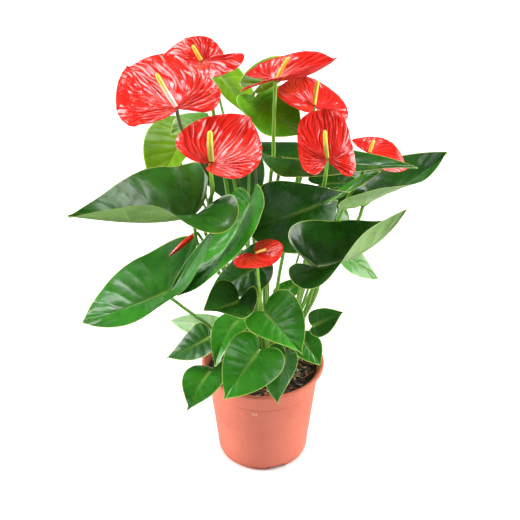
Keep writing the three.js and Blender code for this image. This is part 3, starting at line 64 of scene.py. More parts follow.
# ------------------------------------------------------------------ tables
# One row per sheet: attachment point, axis to the tip, upper-face normal,
# [length, width, asymmetry, lobe depth], [fold l r, fold change l r, cup l r,
# lobe lift l r], [midrib bend, bend growth, side bend, twist], edge offsets r, l.
BLADES = {
    "leaf_3": [[-11.43,-29.46,298.05],[-0.3685,-0.5323,-0.7621],[-0.7832,-0.2638,0.563],[106.7,93.6,0.027,0.144],[0.576,0.149,-0.05,0.026,-0.625,-0.494,0.812,0.578],[0.399,-0.088,0.578,0.053],[-0.7,-0.8,-0.7,-1,-0.1,-0.5,0,-0.1,0,0,0,0,0,0,0,0],[-0.1,0.4,-0.3,0.7,-0.8,0.1,0.2,-0.7,1,-0.1,-0.6,1,0.2,-0.3,0.1,0]],
    "leaf_1": [[-61.95,-41.45,293.27],[-0.8605,-0.5079,0.0394],[0.0181,0.0468,0.9987],[122,110.9,-0.052,0.281],[0.725,0.678,0.714,0.575,-1.11,-0.179,1.321,1.555],[0.815,-0.437,-0.036,-0.009],[-3.1,2.3,-2.3,2.3,-1.8,1.8,-0.9,0.7,-0.1,-0.2,0.6,-1.1,1.4,-2.1,1,-1.5],[-2.2,1.9,-2.7,1.9,-1.9,1.7,-2.3,0.4,0.5,-0.6,5.4,2.1,5.5,-4.7,3.2,-3.9]],
    "leaf_2": [[-87.14,-53.76,220.87],[-0.8467,-0.5281,-0.0648],[-0.0419,-0.0553,0.9976],[82.3,91.7,-0.025,0.468],[0.418,0.54,-0.985,0.069,0.337,-0.285,3.554,1.14],[-0.093,0.199,0.069,-0.574],[-3.5,3,-0.2,1.5,-0.1,1.5,0.1,-0.1,-0.8,0.3,-1.6,0.8,-1.7,1.1,-0.2,0.3],[-5.9,2.3,-4.5,2,-2.5,1.7,-0.4,1.4,-0.5,1.1,0.4,-1.8,0.8,-2.4,0.4,-1.3]],
    "leaf_4": [[-69.78,51.25,327.19],[-0.4365,-0.8222,-0.3653],[-0.3055,-0.2464,0.9197],[66.2,68,0.066,0.262],[0.387,0.255,0.048,0.127,0.045,-0.066,0.3,-0.069],[-0.2,-0.169,0.02,0.055],[0,-0.2,-0.1,-0.3,-0.3,-0.4,-0.6,-0.1,-0.7,-0.1,-1.1,-0.2,-1,-0.1,-0.5,-0.1],[0,0,-0.1,0.1,-0.2,0.1,-0.2,0.2,-0.2,0.2,-0.2,0.1,-0.1,0.1,0,0]],
    "leaf_5": [[-41.52,74,375.13],[0.6099,-0.652,-0.4504],[0.4318,-0.2032,0.8788],[58.6,57.3,-0.002,0.279],[0.201,0.463,-0.112,-0.274,-0.326,0.152,0.283,0.3],[-0.003,-0.034,0.132,-0.108],[0.1,0.1,0.3,0.2,0.5,0.2,0.5,0.2,0.1,-0.1,-0.8,-0.3,0.4,0.7,0.1,0.1],[0,0,0.1,0,0,0.1,0,0.2,-0.8,-0.4,0.4,-0.1,0.9,0.2,0.6,0.2]],
    "leaf_6": [[-6.19,30,373.11],[0.7031,-0.6017,-0.3789],[0.2038,-0.3399,0.9181],[53.1,63.9,-0.027,0.136],[0.023,0.251,0.206,-0.335,-0.14,0.226,-0.117,0.433],[-0.219,-0.002,-0.229,-0.392],[0.2,0.2,0.5,0.2,1,-0.1,1.1,-0.5,1.8,-0.3,-1,-2.3,-1.5,-0.9,-1,0.3],[0.6,-1.9,1.4,-3.1,1.3,-2.2,1,-1.2,0.7,-0.2,0.4,0.2,0.2,0.2,0.1,0.1]],
    "leaf_7": [[17.13,-10,333.83],[0.993,0.0603,-0.1012],[0.0956,0.0898,0.9914],[119.2,75.9,0.019,0.21],[0.185,0.16,0.107,0.219,-0.352,-0.385,0.18,2.777],[-0.095,0.267,0.233,0.034],[-0.4,-1.4,0.1,-0.5,0.3,-0.1,-0.2,-0.1,-0.1,0,-0.1,0.1,0,0.1,0,0.1],[0,0,0,0,0,-0.1,0,-0.1,0,0,0,0,0,0.1,-0.1,-0.1]],
    "leaf_11": [[55.36,37.27,280.16],[0.9791,0.2007,0.0314],[0.0023,-0.1654,0.9862],[43.1,30.6,-0.006,0.28],[0.277,0.372,0.027,-0.136,-0.115,0.074,0.3,0.3],[-0.203,-0.15,-0.013,-0.113],[0,0.2,0,0.5,0,0.7,0.1,0.8,0.1,0.2,0,-0.2,0,-0.2,0,-0.1],[0,0,0,0,0,0.1,0,0.1,0,0.2,0,0.2,0,0.1,0,0.1]],
    "leaf_8": [[93.32,28.97,263.75],[0.8703,0.4458,0.2094],[-0.2232,-0.0219,0.9745],[97.1,80.3,-0.011,0.299],[0.369,0.702,0.164,-0.431,-0.151,0.189,0.3,0.418],[0.011,0.471,0.093,-0.215],[0,0,0,0,0.1,0.1,0,0.5,-0.3,0.4,-0.8,-1,-1.7,-0.2,-1.4,0.2],[0,0,0,0,0,0,0,0.2,0,0.5,-0.1,1,-0.1,1.5,-0.1,1.1]],
    "leaf_10": [[59.6,1.36,281.87],[0.8167,0.4567,0.3527],[-0.3949,-0.0034,0.9187],[59.3,29.6,0.001,0.28],[0.202,0.447,-0.016,-0.164,-0.579,0.001,0.3,0.3],[-0.059,-0.078,-0.065,-0.102],[-0.1,0.1,-0.1,0.3,-0.2,0.4,-0.2,0.4,0.1,0,0.3,-0.4,0.4,-0.5,0.2,-0.3],[0.1,-0.1,0.2,-0.2,0.3,-0.4,0.4,-0.7,0.5,-0.7,0.2,-0.3,-0.6,0.8,-0.4,0.4]],
    "leaf_12": [[68.03,41.68,237.52],[-0.2701,-0.4608,-0.8454],[0.5501,-0.7945,0.2573],[54.7,44.2,0.021,0.375],[0.096,0.263,0.152,0.002,-0.281,-0.13,-1.207,0.3],[-0.359,-0.336,0.114,-0.169],[0,0,0,0,0,0,0,0,0,0,0,0,0,0,0,0],[-0.6,0.6,-1,1,-1.1,0.6,-0.6,0.2,-0.3,0,-0.1,0,0,-0.1,0,0]],
    "leaf_14": [[72.57,53.7,197.66],[0.8153,-0.1647,-0.5551],[0.4641,-0.3874,0.7966],[52.3,35.8,0.022,0.28],[0.247,0.341,-0.094,-0.387,-0.078,0.103,0.3,0.3],[-0.096,-0.011,-0.106,-0.194],[0.3,0.2,0.6,0.3,0.9,0.4,1,0.1,0.1,-0.8,-0.5,-1,-0.5,-0.4,-0.3,-0.2],[0.1,0,0.1,0.1,0.1,0.1,0.1,0.1,-0.1,0.1,-0.7,-0.3,-1.2,-0.6,-0.8,-0.4]],
    "leaf_15": [[-23.54,-61.07,215.28],[-0.6852,-0.7253,0.067],[0.1306,-0.0318,0.9909],[38,44.2,0.077,0.361],[0.27,0.369,0.134,-0.083,-0.722,0.193,2.785,-0.105],[0.263,-0.057,0.311,0.03],[-2.1,0.1,-2.8,0.5,-2,1.3,-1.5,1.5,-1.3,1.3,-1.1,1,-0.7,0.6,-0.3,0.2],[-1.4,1.6,-1.8,2.1,-1.1,1.2,-0.8,-0.1,0.2,-1.4,1.2,0.4,1.3,1.3,0.7,0.4]],
    "leaf_16": [[-0.88,-35,239.45],[-0.8218,-0.0278,-0.569],[-0.4724,-0.5252,0.7078],[58.2,46.4,-0.032,0.212],[0.267,0.218,-0.214,-0.069,-0.224,-0.323,0.774,0.3],[0.011,-0.133,0.001,0.103],[0,0.3,0,0.6,0.1,0.7,0.3,0.6,0.5,-0.4,-0.4,-0.3,-1.7,0.4,-1.6,0.5],[-0.9,-0.2,-1.5,-0.3,-1.4,-0.6,-0.8,-0.8,-0.1,-0.9,0.1,-0.7,0.1,-0.4,0.1,-0.2]],
    "leaf_18": [[-5.33,-61.97,159.37],[-0.6093,-0.6154,-0.5],[-0.0474,-0.6012,0.7977],[53.6,55.4,-0.041,0.247],[0.207,0.208,-0.035,-0.008,-0.178,-0.13,0.406,-0.03],[-0.289,-0.215,0.004,0.025],[-0.4,-0.2,-0.5,-0.5,-0.6,-0.4,-0.3,-0.1,0.2,-0.1,0.6,0,1.4,0.1,2,0.1],[0.6,-0.2,0.7,0,1,0,0.8,0.1,0.4,0.1,0.3,-0.1,0.2,0.2,-0.1,0.8]],
    "leaf_13": [[47.7,-78.98,264.36],[0.9879,0.0429,0.1492],[-0.1366,-0.216,0.9668],[94.1,93.7,0.04,0.287],[0.414,0.55,0.018,0.797,-0.103,-0.105,0.691,2.207],[0.634,0.188,-0.515,0.48],[1.3,3.7,1.5,2.6,1.3,1,0.6,-0.7,-1.3,-0.3,-1.1,-0.9,-0.4,-1.2,-0.2,-0.4],[1.4,5.4,-0.7,4.5,-1.4,2.7,-1.6,1,-1.1,-0.3,-0.1,0.2,0.7,-3.6,0.6,-2.6]],
    "leaf_9": [[49.37,-32.73,300.25],[-0.9247,-0.2631,-0.2752],[0.1187,-0.886,0.4481],[70.6,87.2,0.081,0.333],[-0.348,0.763,0.119,-0.311,-0.589,0.705,-1.477,0.167],[-0.416,-0.236,0.006,-1.071],[-0.1,-0.1,-0.3,-0.4,-0.5,-0.7,-0.9,-0.1,-1.7,0.4,-2.3,1.7,-1.7,1.6,-0.8,0.8],[-0.4,0.6,-0.8,0.9,-1,0.6,-0.8,-0.1,-1,-1.2,-1.2,-2.9,-1,-3.2,-0.5,-1.8]],
    "leaf_19": [[-51.3,-30,153.28],[-0.8455,-0.3051,-0.4383],[-0.2831,-0.4398,0.8523],[44.9,38.7,0.001,0.165],[0.305,0.191,-0.161,-0.196,-0.078,-0.101,0.3,0.105],[-0.029,-0.013,0.315,-0.024],[-0.6,-0.8,-1.3,-1.4,-1.6,-1.3,-0.9,-0.5,0.1,-0.5,0.9,-0.6,1,-0.7,0.7,-0.5],[-0.2,0.1,-0.4,0.3,-0.6,0.3,-0.6,0.2,-0.1,-0.4,0.3,-0.1,0.4,0.6,0.3,0.7]],
    "leaf_17": [[1.9,-55,199.39],[0.6677,-0.5943,-0.4483],[0.0531,-0.5626,0.825],[50.6,53.5,-0.095,0.181],[0.291,0.277,0.008,0.284,-0.057,-0.191,0.385,0.114],[-0.115,-0.106,-0.001,0.187],[0.5,0,0.8,-0.7,0.5,-0.6,0.3,-0.3,0.3,0.2,0.4,0.8,0.5,1.2,0.4,1],[1.1,-0.2,1.4,0,1,0.3,1,0.2,1.2,0.2,1.7,0.3,1.1,0.5,-0.5,0.5]],
    "leaf_20": [[-50.01,-50,127.73],[-0.5346,-0.8392,-0.0997],[-0.1042,-0.0516,0.9932],[46.2,40.5,0.021,0.298],[0.239,0.141,-0.265,0.192,-0.18,-0.25,0.895,-1.033],[-0.36,-0.221,-0.14,0.34],[-0.3,-0.8,-0.5,-1.4,-0.5,-0.9,-0.6,-0.5,-0.7,0,-0.2,0.6,1.3,1.1,2,1],[-0.3,0.4,-0.5,0.6,-0.5,0.4,-0.3,0,0.2,-0.5,0.5,-0.6,0.1,0.1,-0.2,0.5]],
    "leaf_23": [[48.06,-10,152.82],[0.9165,0.2584,0.3053],[-0.1242,-0.5418,0.8313],[32.9,29.2,0.013,0.169],[0.263,0.261,0.02,-0.037,-0.143,-0.205,0.306,0.351],[-0.075,-0.106,-0.114,-0.04],[0.1,-0.1,0,0.2,0.5,0.6,0.7,0.1,0.3,-0.2,-0.6,0.1,-1.3,0.5,-1,0.5],[1.8,0.4,3.3,0.8,3.2,0.6,2.3,0.3,1.3,0.4,0.5,0.5,-0.1,-0.2,-0.3,-0.7]],
    "leaf_21": [[-24.3,-20.87,165.47],[-0.5214,-0.8476,-0.0981],[-0.0742,-0.0694,0.9948],[53.6,36.3,0.01,0.277],[0.294,0.185,0.369,0.333,-0.142,-0.217,0.3,0.257],[-0.37,-0.348,-0.21,-0.022],[0.1,-0.5,0.1,-0.8,0.1,-1,-0.2,-0.4,-0.1,0.7,0.9,0.9,1.3,0.7,1.2,0.5],[0.1,-0.2,0.2,-0.4,0.2,-0.7,0,-0.7,-0.5,-0.1,-1,1.1,0.9,0.2,1.7,-0.4]],
    "leaf_24": [[38.32,-19.87,141.93],[0.6029,-0.5617,-0.5666],[0.0931,-0.6558,0.7492],[28.8,28.7,0.016,0.28],[0.204,0.224,0.031,-0.006,-0.216,-0.191,0.3,0.3],[-0.247,-0.2,-0.007,-0.026],[0,0,-0.1,-0.1,-0.1,-0.1,-0.2,-0.2,-0.2,-0.1,-0.1,0.1,0,0.3,0,0.2],[-0.2,-0.5,-0.4,-1,-0.4,-1.4,0,-1.4,1.1,-0.3,1.1,0.3,0.3,0.4,0,0.3]],
    "leaf_27": [[-54.08,38,347.67],[-0.7682,-0.6325,0.0989],[0.1248,0.0035,0.9922],[37.4,30.7,0.035,0.28],[0.25,0.188,0,0.181,-0.15,-0.363,0.3,0.315],[-0.22,-0.243,-0.084,0.125],[0,-0.1,-0.1,-0.3,-0.3,-0.4,-0.6,-0.4,-1.1,0.2,-1.4,1.1,-1,1,-0.5,0.5],[0,0,0,0,0,0,0,0,0,0,0,0,0,0,0,0]],
    "leaf_26": [[19.54,12,174.99],[0.789,0.5139,0.3368],[-0.0274,-0.5181,0.8549],[30.1,20.6,0.007,0.28],[0.233,0.249,-0.021,-0.001,-0.169,-0.151,0.3,0.3],[-0.214,-0.169,-0.031,0.013],[0,0,0,0,0,0,0,0,0,0,0,0,0,0,0,0],[0,0,0,0,0,-0.1,0,-0.2,0.1,-0.3,0.1,-0.4,0.1,-0.3,0,-0.2]],
    "leaf_22": [[20.88,-47.39,145.57],[-0.2481,-0.4647,-0.85],[-0.2511,-0.8166,0.5198],[48.2,34.2,0.083,0.203],[0.398,0.291,0.1,0.04,-0.104,-0.082,0.474,0.3],[-0.192,-0.222,-0.122,-0.038],[0,0,-0.1,0,-0.3,-0.1,-0.6,-0.2,-1.1,-0.3,-1.5,-0.3,-1.2,0,-0.1,0.5],[-0.6,-0.7,-1.2,-1.2,-1.4,-1.5,-0.8,-1,-0.8,-0.2,-1.4,0.6,-1.4,0.8,-0.8,0.5]],
    "leaf_28": [[-1.05,28,388.42],[0.6972,0.651,0.3002],[-0.1898,-0.2362,0.953],[56.7,39.5,-0.015,0.28],[0.288,0.314,0.119,0.03,-0.069,-0.056,0.3,0.3],[-0.353,-0.298,0.029,-0.062],[0,0,0,0.1,-0.1,0.1,-0.1,0.2,-0.1,0.2,-0.1,0.1,-0.1,0.1,0,0],[0.1,-0.1,0.3,-0.2,0.4,-0.2,0.4,0,0,0.5,-0.9,1.4,-1.2,-0.1,-0.7,-0.3]],
    "leaf_25": [[-47.8,0,144.58],[-0.9833,0.1641,0.0782],[0.0372,-0.2394,0.9702],[44.2,24.5,-0.028,0.28],[0.123,0.291,-0.164,0.05,-0.277,-0.105,0.3,0.3],[-0.162,-0.112,0.142,0.149],[0,0,0,0,0,0.1,0,0.3,-0.1,0.6,-0.1,0.8,-0.1,0.5,0,0.3],[0,0,-0.1,-0.1,-0.2,-0.4,-0.4,-0.8,-0.7,-1.4,-0.9,-1.8,-0.4,-1.2,-0.1,-0.4]],
    "spathe_2": [[-52.55,20,412.76],[-0.9901,-0.0198,-0.1387],[-0.1273,-0.287,0.9494],[49.9,50.5,-0.074,0.53],[0.258,0.4,0.208,0.172,-0.275,0.15,0.395,-0.75],[-0.359,-0.025,1.087,-0.19],[-0.1,0,-0.1,0,0.3,0.4,0.1,0.4,-0.2,0.7,-0.4,0.8,-0.2,0.4,-0.1,0.2],[0.9,2.8,2.1,2.2,3.1,1,2,0.4,1,0.1,0.3,-0.1,0,-0.1,0,-0.1]],
    "spathe_3": [[10.55,0,403.5],[0.9999,-0.0124,0.0107],[-0.0112,-0.0344,0.9993],[57.1,65.5,-0.01,0.451],[0.27,0.454,0.244,0.273,-0.191,0.1,-0.729,-1.059],[0.56,0.175,-0.256,-0.032],[-0.8,-0.2,-1.4,-0.3,-1.2,-0.3,-0.9,0.3,-0.5,0.5,0,-0.3,0.2,-0.5,0.1,-0.3],[-0.2,-0.1,-0.4,-0.1,-0.3,0,0,-0.2,0,0.5,-0.1,0.5,-0.2,0.2,-0.8,-1.1]],
    "spathe_1": [[-71.5,-50,401.88],[-0.5178,0.8459,0.1275],[-0.0693,-0.19,0.9793],[77.3,84.8,-0.033,0.214],[0.202,0.172,-0.07,0.245,-0.351,-0.198,0.368,-0.73],[0.053,-0.028,-0.194,0.229],[0.2,0.4,0.1,-0.2,0,-0.1,0,-0.3,-1.1,-1.2,0.4,1.6,1.6,0.1,1.4,-0.8],[-1.3,1.3,-1.3,1.1,-0.9,0.7,-0.6,0.3,-0.2,0,0.1,0.2,-0.4,0.4,-0.5,0.4]],
    "spathe_4": [[44.45,10,374.39],[-0.175,0.9536,0.245],[0.2878,-0.1884,0.939],[49.4,64.2,0.013,0.319],[0.172,0.01,-0.325,-0.09,-0.141,-0.182,0.221,-0.071],[-0.125,-0.067,-0.003,0.161],[0.4,-0.4,0.8,-0.8,1.1,-1,1.2,-0.6,0.8,-0.5,0.1,-0.7,-0.1,-0.4,-0.1,-0.2],[0.1,-0.5,0.2,-0.4,-0.1,0,-0.7,0,-1.1,0,-1,0.1,-0.6,0.1,-0.3,0]],
    "spathe_5": [[53.46,-60,359.69],[-0.0611,0.8073,0.5869],[0.0324,-0.5861,0.8096],[58.4,50.1,-0.029,0.272],[0.195,0.093,-0.012,0.138,0.16,-0.635,0.456,0.29],[-0.271,-0.321,0.097,0.115],[2.2,0.3,2.7,-0.6,2,-1.2,0,-1,-1.2,-0.2,0.1,0.9,1,1.1,0.7,0.4],[-0.4,-0.1,-0.5,0,-0.6,0,0.4,0.4,-0.8,0.7,-1.9,0.3,-1.2,-0.6,-0.5,-0.6]],
    "spathe_7": [[95.26,20.63,322.65],[0.984,0.0068,-0.1783],[0.1783,-0.0754,0.9811],[40.6,46.9,-0.019,0.33],[0.132,0.141,0.121,-0.109,-0.086,-0.202,0.687,0.3],[-0.361,-0.223,0.058,-0.174],[0,0,0.1,0.1,0.1,0.1,0,0.1,-0.1,0,-0.3,0.1,-0.3,0.5,-0.2,0.3],[-0.8,0,-1.4,0,-1.1,-0.1,-0.7,0.3,-0.6,0.8,-1.2,0.7,-1.9,0.1,-1.4,-0.1]],
    "spathe_8": [[-6.05,-86.17,282.43],[0.7584,-0.5568,0.3387],[-0.4113,-0.0057,0.9115],[29.4,38.3,0.107,0.268],[0.17,0.146,-0.1,-0.27,-0.158,-0.022,0.368,0.731],[0.174,0.146,-0.414,-0.125],[-1.3,1.6,-2.6,0.9,-3.8,-0.2,-3,0.2,-1,0.3,0.8,-1,1.3,-1.6,0.7,-1],[0.9,0.2,1,0.5,0.6,0.5,0.3,0.2,0.2,0.1,0.3,0.2,0.3,0.3,0.2,0.2]],
    "spathe_6": [[-42.81,-90,372.36],[0.6329,0.753,0.1799],[0.0707,-0.2876,0.9551],[60.2,67.8,-0.051,0.284],[0.291,0.213,0.035,-0.248,-0.119,-0.17,1.015,1.199],[0.174,0.011,-0.239,-0.244],[-0.9,0.9,-0.8,1.1,-0.6,0.6,-0.2,0.2,0.1,-0.2,-0.2,-0.6,-0.9,-0.8,-0.7,-0.5],[0.2,0.6,-0.1,1,-0.3,0.8,-0.5,0.8,-0.2,0.5,0.2,0.3,0.5,0.7,0.4,1]],
    "leaf_29": [[-31.83,45.62,307.07],[0.3363,0.0502,-0.9404],[-0.0159,-0.9981,-0.059],[67.4,63.7,0,0.25],[0.0924,0.0924,0,0,0.3827,0.3827,0.1,0.1],[-0.1185,0,0.2399,0],[0,0,0,0,0,0,0,0,0,0,0,0,0,0,0,0],[0,0,0,0,0,0,0,0,0,0,0,0,0,0,0,0]],
    "leaf_30": [[7.58,63.99,217.2],[-0.008,0.9831,-0.1831],[-0.1386,0.1803,0.9738],[99.2,89.3,0,0.3],[0.3,0.3,0,0,-0.25,-0.25,0.3,0.3],[-0.591,-0.355,0.045,0],[0,0,0,0,0,0,0,0,0,0,0,0,0,0,0,0],[0,0,0,0,0,0,0,0,0,0,0,0,0,0,0,0]],
    "leaf_31": [[38.42,56.17,293.33],[0.5663,0.8222,-0.0577],[-0.2003,0.2051,0.958],[79,71.1,0,0.3],[0.3,0.3,0,0,-0.25,-0.25,0.3,0.3],[-0.537,-0.322,-0.065,0],[0,0,0,0,0,0,0,0,0,0,0,0,0,0,0,0],[0,0,0,0,0,0,0,0,0,0,0,0,0,0,0,0]],
    "leaf_32": [[-6.05,61.5,191.08],[-0.2585,0.9105,-0.3226],[-0.3526,0.222,0.9091],[64.1,57.7,0,0.3],[0.3,0.3,0,0,-0.25,-0.25,0.3,0.3],[-0.414,-0.248,-0.083,0],[0,0,0,0,0,0,0,0,0,0,0,0,0,0,0,0],[0,0,0,0,0,0,0,0,0,0,0,0,0,0,0,0]],
}
